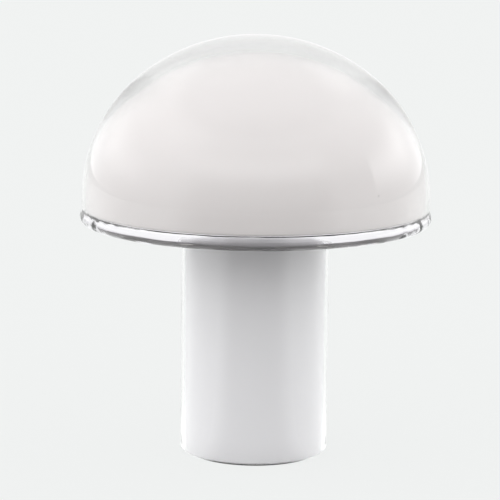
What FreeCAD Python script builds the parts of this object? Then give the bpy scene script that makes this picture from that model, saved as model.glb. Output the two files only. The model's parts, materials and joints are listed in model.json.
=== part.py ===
import FreeCAD, Part
import math
import os
import re
import Sketcher
from FreeCAD import Placement, Rotation, Vector

# Mushroom table lamp of clear-cased opal glass.
# Millimetres, +Z up, front towards -Y, origin on the floor under the middle of the round base.
# The dome shade lies loose on three spring arms, the arms stand on a pressed carrier that caps the
# glass base, and one threaded tube ties the carrier, the ballast and the bottom plate together.

SIZES = {
    # Whole lamp
    "lamp_height": 324.0,
    "shade_diameter": 270.0,
    "shade_height": 138.5,
    "base_diameter": 114.0,
    "base_top": 196.0,
    # Shade: clear outer dome with a beaded rim, opal dome inside it
    "bead_radius": 5.4,
    "bead_overhang": 1.5,
    "shade_straight": 14.0,
    "shoulder_turn": 53.1,
    "hollow_turn": 49.1,
    "crown_clear": 9.7,
    "side_clear": 2.2,
    "opal_wall": 3.0,
    "layer_gap": 0.3,
    "seat_gap": 0.1,
    # Glass base: clear outer tube and opal lining, both turned in at the foot
    "base_clear": 2.2,
    "base_opal": 2.6,
    "foot_round": 3.0,
    "clear_heel": 1.2,
    "clear_heel_width": 5.5,
    "opal_heel": 3.5,
    "opal_heel_width": 7.0,
    # Bottom plate, its rubber ring and gasket
    "rubber_ring": 1.0,
    "rubber_ring_width": 4.0,
    "plate_steel": 1.0,
    "plate_flange": 5.0,
    "plate_step": 4.5,
    "plate_step_run": 4.0,
    "gasket_height": 0.6,
    "gasket_trim": 0.5,
    # Ballast
    "ballast_height": 14.0,
    "ballast_gap": 1.4,
    "ballast_chamfer": 1.5,
    "ballast_slot": 18.0,
    "ballast_slot_depth": 22.0,
    # Tie tube and its fasteners
    "tube_diameter": 10.0,
    "tube_bore": 7.4,
    "tube_clearance": 0.3,
    "nut_width": 17.0,
    "nut_height": 2.5,
    "washer_diameter": 20.0,
    "washer_height": 1.0,
    "tube_tail": 0.4,
    "tube_engagement": 9.0,
    # Cord inlet
    "inlet_height": 15.5,
    "inlet_hole": 10.4,
    "inlet_clearance": 0.2,
    "inlet_bore": 6.6,
    "bush_flange": 15.0,
    "bush_flange_height": 2.2,
    "bush_nut_height": 3.4,
    "bush_nut_width": 13.0,
    "inlet_seat": 0.15,
    # Carrier
    "carrier_steel": 1.0,
    "carrier_fit": 0.4,
    "carrier_skirt": 6.0,
    "cup_room": 13.5,
    "cup_taper": 7.0,
    "cup_depth": 47.6,
    "slot_count": 12,
    "slot_edge": 4.0,
    "slot_rim": 7.0,
    "slot_width": 5.0,
    # Arms and their buffers
    "arm_count": 3,
    "arm_width": 13.0,
    "arm_steel": 1.5,
    "arm_foot_edge": 1.5,
    "arm_foot_rim": 2.0,
    "arm_inset": 31.0,
    "arm_pad_inner": 11.0,
    "arm_pad_outer": 6.5,
    "arm_turn": 90.0,
    "arm_bend": 2.0,
    "rivet_edge": 3.0,
    "rivet_wall_room": 2.6,
    "rivet_diameter": 3.0,
    "rivet_clearance": 0.15,
    "rivet_head": 4.6,
    "rivet_head_top": 3.3,
    "rivet_head_height": 1.2,
    "buffer_diameter": 10.0,
    "buffer_height": 3.6,
    "buffer_dome": 6.0,
    "buffer_neck": 4.8,
    "buffer_clearance": 0.1,
    "buffer_button": 7.2,
    "buffer_button_height": 1.4,
    "buffer_seat": 0.3,
    # Lampholder
    "holder_height": 46.0,
    "holder_diameter": 41.0,
    "holder_foot": 34.0,
    "holder_wall": 2.0,
    "holder_cap_height": 17.0,
    "holder_cone": 7.0,
    "holder_boss": 16.0,
    "holder_joint": 0.3,
    "holder_ledge": 1.5,
    "holder_mouth": 29.0,
    "holder_round": 1.5,
    "insert_height": 9.0,
    "insert_seat": 11.0,
    "insert_pocket": 20.0,
    "insert_floor": 3.0,
    "wire_hole": 4.0,
    "sleeve_wall": 0.5,
    "sleeve_flange": 2.0,
    "thread_clearance": 0.3,
    "contact_height": 4.0,
    "contact_strip": 0.6,
    "contact_width": 6.0,
    "contact_foot": 4.0,
    "contact_tongue": 3.5,
    "contact_rest": 0.3,
    "screw_circle": 25.0,
    "screw_clearance": 0.15,
    "screw_diameter": 3.0,
    "screw_head": 5.5,
    "screw_head_height": 2.2,
    "screw_length": 5.0,
    # Bulb, standard 60 mm pear with a 27 mm screw cap
    "bulb_length": 105.0,
    "bulb_diameter": 60.0,
    "bulb_neck": 25.0,
    "bulb_neck_blend": 45.0,
    "bulb_glass": 1.0,
    "bulb_thread": 26.4,
    "bulb_cap_height": 26.5,
    "bulb_cap_wall": 0.4,
    "bulb_neck_depth": 7.0,
    "button_diameter": 9.0,
    "button_height": 1.6,
    "button_round": 1.0,
    "insulator_height": 3.0,
    "insulator_disc": 1.5,
    "insulator_step": 2.0,
    "cap_lip": 16.0,
    "cap_taper": 3.0,
    "cap_taper_inset": 1.5,
    "stem_clearance": 0.3,
    "stem_diameter": 8.0,
    "stem_flare_height": 10.0,
    "stem_height": 34.0,
    "stem_glass": 2.0,
    "support_foot": 4.0,
    "support_spread": 16.0,
    "support_wire": 0.9,
    "support_seat": 0.15,
    "filament_wire": 0.7,
    "filament_drop": 0.9,
    "filament_gap": 0.15,
}

doc = FreeCAD.newDocument("mushroom_table_lamp")
sheet = doc.addObject("Spreadsheet::Sheet", "Sizes")
for row, (alias, number) in enumerate(SIZES.items(), 1):
    sheet.set(f"A{row}", alias)
    sheet.set(f"B{row}", str(number))
    sheet.setAlias(f"B{row}", alias)
doc.recompute()

# Sizes that several pieces share, each written from the sheet's values
SHARED = {
    "shade_wall": "(shade_diameter / 2 - bead_overhang)",
    "bead_centre": "(shade_diameter / 2 - bead_radius)",
    "rim_height": "(lamp_height - shade_height)",
    "straight_top": "(RIM_HEIGHT + shade_straight)",
    "hollow_wall": "(SHADE_WALL - side_clear)",
    "hollow_top": "(lamp_height - crown_clear)",
    # A dome face turns through its shoulder arc first, and the crown arc is larger by the spread
    "shade_rise": "(lamp_height - STRAIGHT_TOP)",
    "shade_spread": "((SHADE_WALL - SHADE_RISE) / (sin(shoulder_turn) + cos(shoulder_turn) - 1))",
    "shoulder": "(SHADE_WALL - SHADE_SPREAD * cos(shoulder_turn))",
    "hollow_rise": "(HOLLOW_TOP - STRAIGHT_TOP)",
    "hollow_spread": "((HOLLOW_WALL - HOLLOW_RISE) / (sin(hollow_turn) + cos(hollow_turn) - 1))",
    "hollow_shoulder": "(HOLLOW_WALL - HOLLOW_SPREAD * cos(hollow_turn))",
    "opal_foot": "(RIM_HEIGHT + bead_radius + seat_gap)",
    "base_radius": "(base_diameter / 2)",
    "plate_top": "(rubber_ring + plate_steel)",
    "gasket_top": "(PLATE_TOP + gasket_height)",
    "opal_floor": "(GASKET_TOP + seat_gap)",
    "glass_foot": "(OPAL_FLOOR - seat_gap - clear_heel)",
    "lining_radius": "(BASE_RADIUS - base_clear - layer_gap)",
    "room_radius": "(LINING_RADIUS - base_opal)",
    "heel_bore": "(LINING_RADIUS - opal_heel_width)",
    "clear_heel_bore": "(BASE_RADIUS - clear_heel_width)",
    "plate_radius": "(CLEAR_HEEL_BORE - layer_gap)",
    "pan_bottom": "(rubber_ring + plate_step)",
    "pan_top": "(PAN_BOTTOM + plate_steel)",
    "ballast_top": "(PAN_TOP + ballast_height)",
    "ballast_slot_start": "(ROOM_RADIUS - ballast_slot_depth)",
    "tube_hole": "(tube_diameter / 2 + tube_clearance)",
    "carrier_bottom": "(base_top + gasket_height)",
    "carrier_top": "(CARRIER_BOTTOM + carrier_steel)",
    "holder_seat": "(CARRIER_TOP - cup_depth)",
    "cup_bottom": "(HOLDER_SEAT - carrier_steel)",
    "cup_mouth": "(HOLDER_RADIUS + cup_room)",
    "cup_floor": "(CUP_MOUTH - cup_taper)",
    "slot_inner": "(CUP_MOUTH + slot_edge)",
    "slot_outer": "(BASE_RADIUS - slot_rim)",
    "arm_foot_start": "(CUP_MOUTH + arm_foot_edge)",
    "arm_foot_end": "(BASE_RADIUS - arm_foot_rim)",
    "arm_reach": "(shade_diameter / 2 - arm_inset)",
    "rivet_inner": "(ARM_FOOT_START + rivet_edge)",
    "rivet_outer": "(ROOM_RADIUS - rivet_wall_room)",
    "holder_radius": "(holder_diameter / 2)",
    "holder_split": "(HOLDER_SEAT + holder_cap_height)",
    "holder_top": "(HOLDER_SEAT + holder_height)",
    "insert_bottom": "(HOLDER_SEAT + insert_seat)",
    "insert_top": "(INSERT_BOTTOM + insert_height)",
    "pocket_floor": "(INSERT_BOTTOM + insert_floor)",
    "insert_radius": "(HOLDER_RADIUS - holder_wall - holder_joint)",
    "thread_bore": "(bulb_thread / 2 + thread_clearance)",
    "sleeve_radius": "(THREAD_BORE + sleeve_wall)",
    "bulb_foot": "(POCKET_FLOOR + contact_height)",
    "bulb_top": "(BULB_FOOT + bulb_length)",
    "bulb_radius": "(bulb_diameter / 2)",
    "bulb_centre": "(BULB_TOP - BULB_RADIUS)",
    "insulator_bottom": "(BULB_FOOT + button_height + seat_gap)",
    "cap_bottom": "(INSULATOR_BOTTOM + insulator_height)",
    "cap_top": "(BULB_FOOT + bulb_cap_height)",
    "neck_bottom": "(CAP_TOP - bulb_neck_depth)",
    "stem_top": "(NECK_BOTTOM + stem_height)",
    # From the flange of the inlet's bush to the flat of its nut inside the round lining
    "nut_face": "(sqrt(ROOM_RADIUS ^ 2 - bush_nut_width ^ 2 / 3) - inlet_seat)",
    "bush_way": "(BASE_RADIUS + inlet_seat - NUT_FACE)",
}


def spelled(text):
    """An expression in the sheet's own values, with every shared size written out."""
    while re.search(r"\b[A-Z][A-Z_]+\b", text):
        text = re.sub(r"\b[A-Z][A-Z_]+\b", lambda word: SHARED[word.group().lower()], text)
    return text


def bound(text):
    """The same expression as another object writes it, each value with the sheet's name before it."""
    def from_sheet(word):
        return f"Sizes.{word.group()}" if word.group() in SIZES else word.group()
    return re.sub(r"\b[a-z][a-z_]+\b", from_sheet, spelled(text))


def size(text):
    """The expression's value now, in millimetres."""
    return float(sheet.evalExpression(bound(text)))


def bind(target, path, text):
    target.setExpression(path, bound(text))


def new_body(label):
    body = doc.addObject("PartDesign::Body", label)
    body.Label = label
    return body


def new_sketch(body, name, plane="XZ_Plane"):
    sketch = body.newObject("Sketcher::SketchObject", f"{body.Label}_{name}")
    support = next(feature for feature in body.Origin.OriginFeatures if feature.Role == plane)
    sketch.AttachmentSupport = [(support, "")]
    sketch.MapMode = "FlatFace"
    return sketch


def distance(sketch, kind, *place, text):
    """A dimension of a sketch, bound to the sheet."""
    index = sketch.addConstraint(Sketcher.Constraint(kind, *place, size(text)))
    bind(sketch, f"Constraints[{index}]", text)


def arc_centre(start, end, radius, bulge):
    """Middle of the arc between two points: bulge 1 swells to the right of the way, -1 to the left."""
    half = (end - start) * 0.5
    across = Vector(-half.y, half.x, 0) * (1 / half.Length)
    return start + half + across * (bulge * math.sqrt(max(0, radius ** 2 - half.Length ** 2)))


def arc_between(start, end, radius, bulge):
    """That arc, counter-clockwise as a sketch keeps its arcs."""
    centre = arc_centre(start, end, radius, bulge)
    first, last = (start, end) if bulge > 0 else (end, start)
    opening = math.atan2(first.y - centre.y, first.x - centre.x)
    closing = math.atan2(last.y - centre.y, last.x - centre.x)
    if closing <= opening:
        closing += 2 * math.pi
    return Part.ArcOfCircle(Part.Circle(centre, Vector(0, 0, 1), radius), opening, closing)


def draw_outline(sketch, corners):
    """A closed outline. Each corner is (across, up) or (across, up, radius, bulge), whose last two
    values make the edge that leaves it an arc; every number is an expression in the sheet's values."""
    points = [Vector(size(corner[0]), size(corner[1]), 0) for corner in corners]
    for start, end, corner in zip(points, points[1:] + points[:1], corners):
        if len(corner) == 2:
            sketch.addGeometry(Part.LineSegment(start, end))
        else:
            sketch.addGeometry(arc_between(start, end, size(corner[2]), corner[3]))
    count = len(corners)
    # An arc that swells to the left is kept the other way round, so its ends are exchanged
    ends = [(2, 1) if len(corner) > 2 and corner[3] < 0 else (1, 2) for corner in corners]
    # A half circle takes its radius from its ends, so it only has to leave the edge before it smoothly
    half_circle = [len(corner) > 2 and start.distanceToPoint(end) > 1.99 * size(corner[2])
                   for start, end, corner in zip(points, points[1:] + points[:1], corners)]
    for index, corner in enumerate(corners):
        following = (index + 1) % count
        joint = "Tangent" if half_circle[following] else "Coincident"
        sketch.addConstraint(Sketcher.Constraint(joint, index, ends[index][1], following, ends[following][0]))
        pin(sketch, index, ends[index][0], corner[0], corner[1])
        if len(corner) > 2 and abs(sketch.Geometry[index].Center.x) < 1e-6:
            sketch.addConstraint(Sketcher.Constraint("PointOnObject", index, 3, -2))
        elif len(corner) > 2 and not half_circle[index]:
            distance(sketch, "Radius", index, text=corner[2])


def pin(sketch, edge, end, across, up):
    """Fixes an end of an edge at its distances from the sketch's axes."""
    for text, kind, axis in ((across, "DistanceX", -2), (up, "DistanceY", -1)):
        if abs(size(text)) < 1e-9:
            sketch.addConstraint(Sketcher.Constraint("PointOnObject", edge, end, axis))
        elif size(text) > 0:
            distance(sketch, kind, -1, 1, edge, end, text=text)
        else:
            distance(sketch, kind, edge, end, -1, 1, text=f"-({text})")


def revolve(body, sketch, kind="PartDesign::Revolution"):
    """A full turn of a sketch about +Z, added to the body or, as a groove, taken out of it."""
    feature = body.newObject(kind, f"{sketch.Name}_turned")
    feature.Profile = sketch
    feature.ReferenceAxis = (sketch, ["V_Axis"])
    feature.Angle = 360
    sketch.Visibility = False
    doc.recompute()
    return feature


def hollow(body, sketch):
    """Takes a full turn of a sketch out of the body."""
    before = body.Shape.Volume
    revolve(body, sketch, "PartDesign::Groove")
    assert body.Shape.Volume < before - 1, f"{body.Label} has no hollow"


def turned(label, corners):
    """A round piece turned about +Z from its half outline."""
    body = new_body(label)
    sketch = new_sketch(body, "outline")
    draw_outline(sketch, corners)
    revolve(body, sketch)
    return body


def about_z(turn):
    """A turn about +Z, given as an expression in degrees."""
    return Placement(Vector(), Rotation(Vector(0, 0, 1), size(turn)))


def cut(body, name, plane, draw, length, towards, offset=Placement()):
    """A pocket from an origin plane, moved by the offset, to the side that the point `towards` lies on."""
    sketch = new_sketch(body, name, plane)
    sketch.AttachmentOffset = offset
    draw(sketch)
    before = body.Shape.Volume
    pocket = body.newObject("PartDesign::Pocket", f"{body.Label}_{name}_cut")
    pocket.Profile = sketch
    bind(pocket, "Length", length)
    sketch.Visibility = False
    doc.recompute()
    if body.Shape.isInside(towards, 1e-4, True) or body.Shape.Volume >= before:
        pocket.Reversed = True
        doc.recompute()
    assert body.Shape.Volume < before - 1 and not body.Shape.isInside(towards, 1e-4, True), body.Label
    return pocket


def turned_out(radius, turn, height):
    """The point at a radius and a turn about +Z."""
    angle = math.radians(size(turn))
    return Vector(size(radius) * math.cos(angle), size(radius) * math.sin(angle), height)


def draw_circle(sketch, across, up, radius):
    index = sketch.addGeometry(Part.Circle(Vector(size(across), size(up), 0), Vector(0, 0, 1), size(radius)))
    pin(sketch, index, 3, across, up)
    distance(sketch, "Radius", index, text=radius)


def pattern(body, feature, count):
    """Copies of a feature about +Z, all the way round."""
    polar = body.newObject("PartDesign::PolarPattern", f"{feature.Name}_ring")
    polar.Originals = [feature]
    polar.Axis = (next(axis for axis in body.Origin.OriginFeatures if axis.Role == "Z_Axis"), [""])
    polar.Angle = 360
    bind(polar, "Occurrences", count)
    body.Tip = polar
    doc.recompute()
    return polar


# Shade

# Faces of the domes as wall radius, shoulder radius, crown height and the shoulder's turn in degrees
OUTSIDE = ("SHADE_WALL", "SHOULDER", "lamp_height", "shoulder_turn")
HOLLOW = ("HOLLOW_WALL", "HOLLOW_SHOULDER", "HOLLOW_TOP", "hollow_turn")


def within(face, depth):
    """The face that runs parallel to a dome face, a depth inside it."""
    wall, shoulder, top, turn = face
    return (f"({wall} - {depth})", f"({shoulder} - {depth})", f"({top} - {depth})", turn)


OPAL_OUTSIDE = within(HOLLOW, "layer_gap")
OPAL_INSIDE = within(OPAL_OUTSIDE, "opal_wall")


def dome_crown(face):
    """Radius of the crown arc, which meets the shoulder arc smoothly and the axis squarely."""
    shoulder = size(face[1])
    rise = size(face[2]) - size("STRAIGHT_TOP")
    return shoulder + (rise - shoulder) / (1 - math.sin(math.radians(size(face[3]))))


def dome_joint(face):
    """Where the shoulder arc ends and the crown arc starts, as (radius, height)."""
    wall, shoulder, turn = size(face[0]), size(face[1]), math.radians(size(face[3]))
    return Vector(wall - shoulder * (1 - math.cos(turn)), size("STRAIGHT_TOP") + shoulder * math.sin(turn), 0)


def draw_dome(sketch, face, foot):
    """Half outline of a filled dome: flat foot, straight side, shoulder arc, crown arc and axis."""
    wall, shoulder, top, _ = face
    bend = Vector(size(wall), size("STRAIGHT_TOP"), 0)
    joint = dome_joint(face)
    apex = Vector(0, size(top), 0)
    floor = Vector(0, size(foot), 0)
    corner = Vector(size(wall), size(foot), 0)
    base = sketch.addGeometry(Part.LineSegment(floor, corner))
    side = sketch.addGeometry(Part.LineSegment(corner, bend))
    round_side = sketch.addGeometry(arc_between(bend, joint, size(shoulder), 1))
    crown = sketch.addGeometry(arc_between(joint, apex, dome_crown(face), 1))
    axis = sketch.addGeometry(Part.LineSegment(apex, floor))
    sketch.addConstraint(Sketcher.Constraint("Horizontal", base))
    sketch.addConstraint(Sketcher.Constraint("Vertical", side))
    sketch.addConstraint(Sketcher.Constraint("Coincident", base, 2, side, 1))
    sketch.addConstraint(Sketcher.Constraint("Tangent", side, 2, round_side, 1))
    sketch.addConstraint(Sketcher.Constraint("Tangent", round_side, 2, crown, 1))
    sketch.addConstraint(Sketcher.Constraint("Coincident", crown, 2, axis, 1))
    sketch.addConstraint(Sketcher.Constraint("Coincident", axis, 2, base, 1))
    sketch.addConstraint(Sketcher.Constraint("PointOnObject", crown, 3, -2))
    pin(sketch, axis, 1, "0", top)
    pin(sketch, axis, 2, "0", foot)
    distance(sketch, "DistanceX", -1, 1, side, 2, text=wall)
    distance(sketch, "DistanceY", -1, 1, side, 2, text="STRAIGHT_TOP")
    distance(sketch, "Radius", round_side, text=shoulder)


def domed(label, outside, inside, foot):
    """A dome turned solid and then hollowed, open at its foot."""
    body = new_body(label)
    solid = new_sketch(body, "solid")
    draw_dome(solid, outside, foot)
    revolve(body, solid)
    void = new_sketch(body, "void")
    draw_dome(void, inside, foot)
    hollow(body, void)
    return body


def shade_clear_dome():
    """Thick at the crown, thin at the sides, its rim rolled into a solid bead."""
    body = domed("shade_clear_dome", OUTSIDE, HOLLOW, "RIM_HEIGHT")
    bead = new_sketch(body, "bead")
    draw_circle(bead, "BEAD_CENTRE", "RIM_HEIGHT", "bead_radius")
    revolve(body, bead)
    return body


def shade_opal_dome():
    """Follows the hollow of the clear dome and stands on the inner half of its bead."""
    return domed("shade_opal_dome", OPAL_OUTSIDE, OPAL_INSIDE, "OPAL_FOOT")


def inside_dome(radius):
    """Height of the opal dome's inside face at a radius, and how far it slopes there, in degrees."""
    wall, shoulder, top = [size(text) for text in OPAL_INSIDE[:3]]
    if radius < dome_joint(OPAL_INSIDE).x:
        arc = dome_crown(OPAL_INSIDE)
        middle = Vector(0, top - arc, 0)
    else:
        arc = shoulder
        middle = Vector(wall - arc, size("STRAIGHT_TOP"), 0)
    slope = math.asin((radius - middle.x) / arc)
    return middle.y + arc * math.cos(slope), math.degrees(slope)


# Glass base

def draw_inlet(radius):
    return lambda sketch: draw_circle(sketch, "0", "inlet_height", radius)


def drill_inlet(body, radius, wall):
    """The cord's hole through the rear wall."""
    cut(body, "inlet", "XZ_Plane", draw_inlet(radius), "BASE_RADIUS + 1",
        Vector(0, size(wall), size("inlet_height")))


def base_clear_tube():
    """Outer glass of the base, its foot rounded and turned in under the lining."""
    inner_round = "(foot_round - base_clear)"
    body = turned("base_clear_tube", [
        ("CLEAR_HEEL_BORE", "GLASS_FOOT"),
        ("BASE_RADIUS - foot_round", "GLASS_FOOT", "foot_round", 1),
        ("BASE_RADIUS", "GLASS_FOOT + foot_round"),
        ("BASE_RADIUS", "base_top"),
        ("BASE_RADIUS - base_clear", "base_top"),
        ("BASE_RADIUS - base_clear", f"GLASS_FOOT + clear_heel + {inner_round}", inner_round, -1),
        ("BASE_RADIUS - foot_round", "GLASS_FOOT + clear_heel"),
        ("CLEAR_HEEL_BORE", "GLASS_FOOT + clear_heel"),
    ])
    drill_inlet(body, "inlet_hole / 2", "BASE_RADIUS - base_clear / 2")
    return body


def base_opal_lining():
    """Stands on the turned-in foot of the clear tube and closes in to a heel of its own."""
    body = turned("base_opal_lining", [
        ("HEEL_BORE", "OPAL_FLOOR"),
        ("LINING_RADIUS - foot_round + base_clear", "OPAL_FLOOR", "foot_round - base_clear", 1),
        ("LINING_RADIUS", "OPAL_FLOOR + foot_round - base_clear"),
        ("LINING_RADIUS", "base_top"),
        ("ROOM_RADIUS", "base_top"),
        ("ROOM_RADIUS", "OPAL_FLOOR + opal_heel"),
        ("HEEL_BORE", "OPAL_FLOOR + opal_heel"),
    ])
    drill_inlet(body, "inlet_hole / 2", "LINING_RADIUS - base_opal / 2")
    return body


# Foot of the lamp

def rubber_foot_ring():
    return turned("rubber_foot_ring", [
        ("PLATE_RADIUS - rubber_ring_width", "0"),
        ("PLATE_RADIUS", "0"),
        ("PLATE_RADIUS", "rubber_ring"),
        ("PLATE_RADIUS - rubber_ring_width", "rubber_ring"),
    ])


def bottom_plate():
    """Pressed steel: a flange under the glass heel and a raised pan that hides the nut below it."""
    flange = "PLATE_RADIUS - plate_flange"
    return turned("bottom_plate", [
        ("TUBE_HOLE", "PAN_BOTTOM"),
        (f"{flange} - plate_step_run", "PAN_BOTTOM"),
        (flange, "rubber_ring"),
        ("PLATE_RADIUS", "rubber_ring"),
        ("PLATE_RADIUS", "PLATE_TOP"),
        (f"{flange} + plate_steel / 2", "PLATE_TOP"),
        (f"{flange} + plate_steel / 2 - plate_step_run", "PAN_TOP"),
        ("TUBE_HOLE", "PAN_TOP"),
    ])


def plate_gasket():
    return turned("plate_gasket", [
        ("HEEL_BORE", "PLATE_TOP"),
        ("PLATE_RADIUS - gasket_trim", "PLATE_TOP"),
        ("PLATE_RADIUS - gasket_trim", "GASKET_TOP"),
        ("HEEL_BORE", "GASKET_TOP"),
    ])


def ballast_weight():
    """Cast-iron disc on the pan, notched at the rear for the cord inlet."""
    rim = "ROOM_RADIUS - ballast_gap"
    body = turned("ballast_weight", [
        ("TUBE_HOLE", "PAN_TOP"),
        (f"{rim} - ballast_chamfer", "PAN_TOP"),
        (rim, "PAN_TOP + ballast_chamfer"),
        (rim, "BALLAST_TOP - ballast_chamfer"),
        (f"{rim} - ballast_chamfer", "BALLAST_TOP"),
        ("TUBE_HOLE", "BALLAST_TOP"),
    ])

    def notch(sketch):
        draw_outline(sketch, [
            ("-ballast_slot / 2", "BALLAST_SLOT_START"),
            ("ballast_slot / 2", "BALLAST_SLOT_START"),
            ("ballast_slot / 2", "BASE_RADIUS"),
            ("-ballast_slot / 2", "BASE_RADIUS"),
        ])

    cut(body, "notch", "XY_Plane", notch, "BALLAST_TOP + 1",
        Vector(0, size("(BALLAST_SLOT_START + ROOM_RADIUS) / 2"), size("PAN_TOP + ballast_height / 2")))
    return body


def tie_tube():
    return turned("tie_tube", [
        ("tube_bore / 2", "PAN_BOTTOM - washer_height - nut_height - tube_tail"),
        ("tube_diameter / 2", "PAN_BOTTOM - washer_height - nut_height - tube_tail"),
        ("tube_diameter / 2", "HOLDER_SEAT + tube_engagement"),
        ("tube_bore / 2", "HOLDER_SEAT + tube_engagement"),
    ])


def shaped(label, shape):
    """A node that is one fixed shape."""
    feature = doc.addObject("Part::Feature", label)
    feature.Label = label
    feature.Shape = shape
    return feature


def group(label, shape, places):
    """One node for fasteners of one kind: a copy of the shape at each place."""
    copies = []
    for place in places:
        copy = shape.copy()
        copy.Placement = place
        copies.append(copy)
    return shaped(label, Part.makeCompound(copies))


def ring_solid(outer, inner, height):
    return Part.makeCylinder(outer, height).cut(Part.makeCylinder(inner, height))


def hexagon_nut(width, height, bore):
    """A plain nut that stands on the floor plane, its width measured across the flats."""
    corner = width / math.sqrt(3)
    corners = [Vector(corner * math.cos(math.radians(turn)), corner * math.sin(math.radians(turn)), 0)
               for turn in range(0, 361, 60)]
    hexagon = Part.Face(Part.makePolygon(corners)).extrude(Vector(0, 0, height))
    return hexagon.cut(Part.makeCylinder(bore, height))


def at_height(text):
    return Placement(Vector(0, 0, size(text)), Rotation())


def tube_nuts():
    """Thin hexagon nuts: under the bottom plate, on the ballast and under the carrier's cup."""
    nut = hexagon_nut(size("nut_width"), size("nut_height"), size("tube_diameter / 2 + seat_gap"))
    return group("tube_nuts", nut, [
        at_height("PAN_BOTTOM - washer_height - nut_height"),
        at_height("BALLAST_TOP + washer_height"),
        at_height("CUP_BOTTOM - washer_height - nut_height"),
    ])


def tube_washers():
    washer = ring_solid(size("washer_diameter / 2"), size("TUBE_HOLE"), size("washer_height"))
    return group("tube_washers", washer, [
        at_height("PAN_BOTTOM - washer_height"),
        at_height("BALLAST_TOP"),
        at_height("CUP_BOTTOM - washer_height"),
    ])


# Cord inlet at the rear

def to_rear(body, text):
    """Turns a piece that was made along +Z to point to the rear, at the inlet's height."""
    body.Placement = Placement(Vector(0, size(text), size("inlet_height")), Rotation(Vector(1, 0, 0), -90))
    return body


def inlet_bush():
    """Flanged bush with a rounded mouth; its neck goes through both glass walls."""
    neck = "(inlet_hole / 2 - inlet_clearance)"
    through = "(BUSH_WAY + bush_nut_height + 1)"
    body = turned("inlet_bush", [
        ("inlet_bore / 2", f"-{through}"),
        (neck, f"-{through}"),
        (neck, "0"),
        ("bush_flange / 2", "0"),
        ("bush_flange / 2", "bush_flange_height / 2", "bush_flange_height / 2", 1),
        ("bush_flange / 2 - bush_flange_height / 2", "bush_flange_height"),
        ("inlet_bore / 2 + bush_flange_height / 2", "bush_flange_height", "bush_flange_height / 2", 1),
        ("inlet_bore / 2", "bush_flange_height / 2"),
    ])
    return to_rear(body, "BASE_RADIUS + inlet_seat")


def bush_nut():
    nut = hexagon_nut(size("bush_nut_width"), size("bush_nut_height"), size("inlet_hole / 2"))
    return to_rear(shaped("bush_nut", nut), "NUT_FACE - bush_nut_height")


# Rivets that hold each arm's foot on the carrier, by their radius
RIVETS = ("RIVET_INNER", "RIVET_OUTER")


def drill_rivet(body, radius, turn, top, steel):
    """A rivet's hole at a radius and a turn about +Z, through a sheet of the given top and thickness."""
    def hole(sketch):
        draw_circle(sketch, radius, "0", "rivet_diameter / 2 + rivet_clearance")

    spot = turned_out(radius, turn, size(f"{top} - {steel} / 2"))
    return cut(body, radius.lower(), "XY_Plane", hole, f"{top} + 1", spot, about_z(turn))


# Carrier: the pressed cap of the base, with a cup for the lampholder

def base_top_gasket():
    return turned("base_top_gasket", [
        ("ROOM_RADIUS", "base_top"),
        ("BASE_RADIUS", "base_top"),
        ("BASE_RADIUS", "CARRIER_BOTTOM"),
        ("ROOM_RADIUS", "CARRIER_BOTTOM"),
    ])


def carrier_plate():
    skirt = "(BASE_RADIUS + carrier_fit)"
    body = turned("carrier_plate", [
        ("TUBE_HOLE", "CUP_BOTTOM"),
        ("CUP_FLOOR", "CUP_BOTTOM"),
        ("CUP_MOUTH", "CARRIER_BOTTOM"),
        (skirt, "CARRIER_BOTTOM"),
        (skirt, "CARRIER_TOP - carrier_skirt"),
        (f"{skirt} + carrier_steel", "CARRIER_TOP - carrier_skirt"),
        (f"{skirt} + carrier_steel", "CARRIER_TOP - carrier_steel", "carrier_steel", 1),
        (skirt, "CARRIER_TOP"),
        ("CUP_MOUTH - carrier_steel", "CARRIER_TOP"),
        ("CUP_FLOOR - carrier_steel", "HOLDER_SEAT"),
        ("TUBE_HOLE", "HOLDER_SEAT"),
    ])

    def slot(sketch):
        draw_outline(sketch, [
            ("SLOT_INNER", "-slot_width / 2"),
            ("SLOT_OUTER", "-slot_width / 2", "slot_width / 2", 1),
            ("SLOT_OUTER", "slot_width / 2"),
            ("SLOT_INNER", "slot_width / 2", "slot_width / 2", 1),
        ])

    sheet_middle = size("CARRIER_BOTTOM + carrier_steel / 2")
    # The slots stand either side of each arm
    between = "arm_turn + 180 / slot_count"
    spot = turned_out("(SLOT_INNER + SLOT_OUTER) / 2", between, sheet_middle)
    first = cut(body, "slot", "XY_Plane", slot, "CARRIER_TOP + 1", spot, about_z(between))
    pattern(body, first, "slot_count")

    for radius in RIVETS:
        pattern(body, drill_rivet(body, radius, "arm_turn", "CARRIER_TOP", "carrier_steel"), "arm_count")
    return body


# Arms, their rivets and buffers

def arm_places():
    """A turn about +Z for each arm."""
    step = 360 / size("arm_count")
    return [Placement(Vector(), Rotation(Vector(0, 0, 1), size("arm_turn") + step * index))
            for index in range(int(size("arm_count")))]


def pad_frame():
    """Where the buffer stands on an arm's end pad, and the pad's slope in degrees."""
    height, slope = inside_dome(size("ARM_REACH"))
    lean = math.radians(slope)
    depth = size("buffer_height + buffer_seat")
    return Vector(size("ARM_REACH") - depth * math.sin(lean), 0, height - depth * math.cos(lean)), slope


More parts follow.
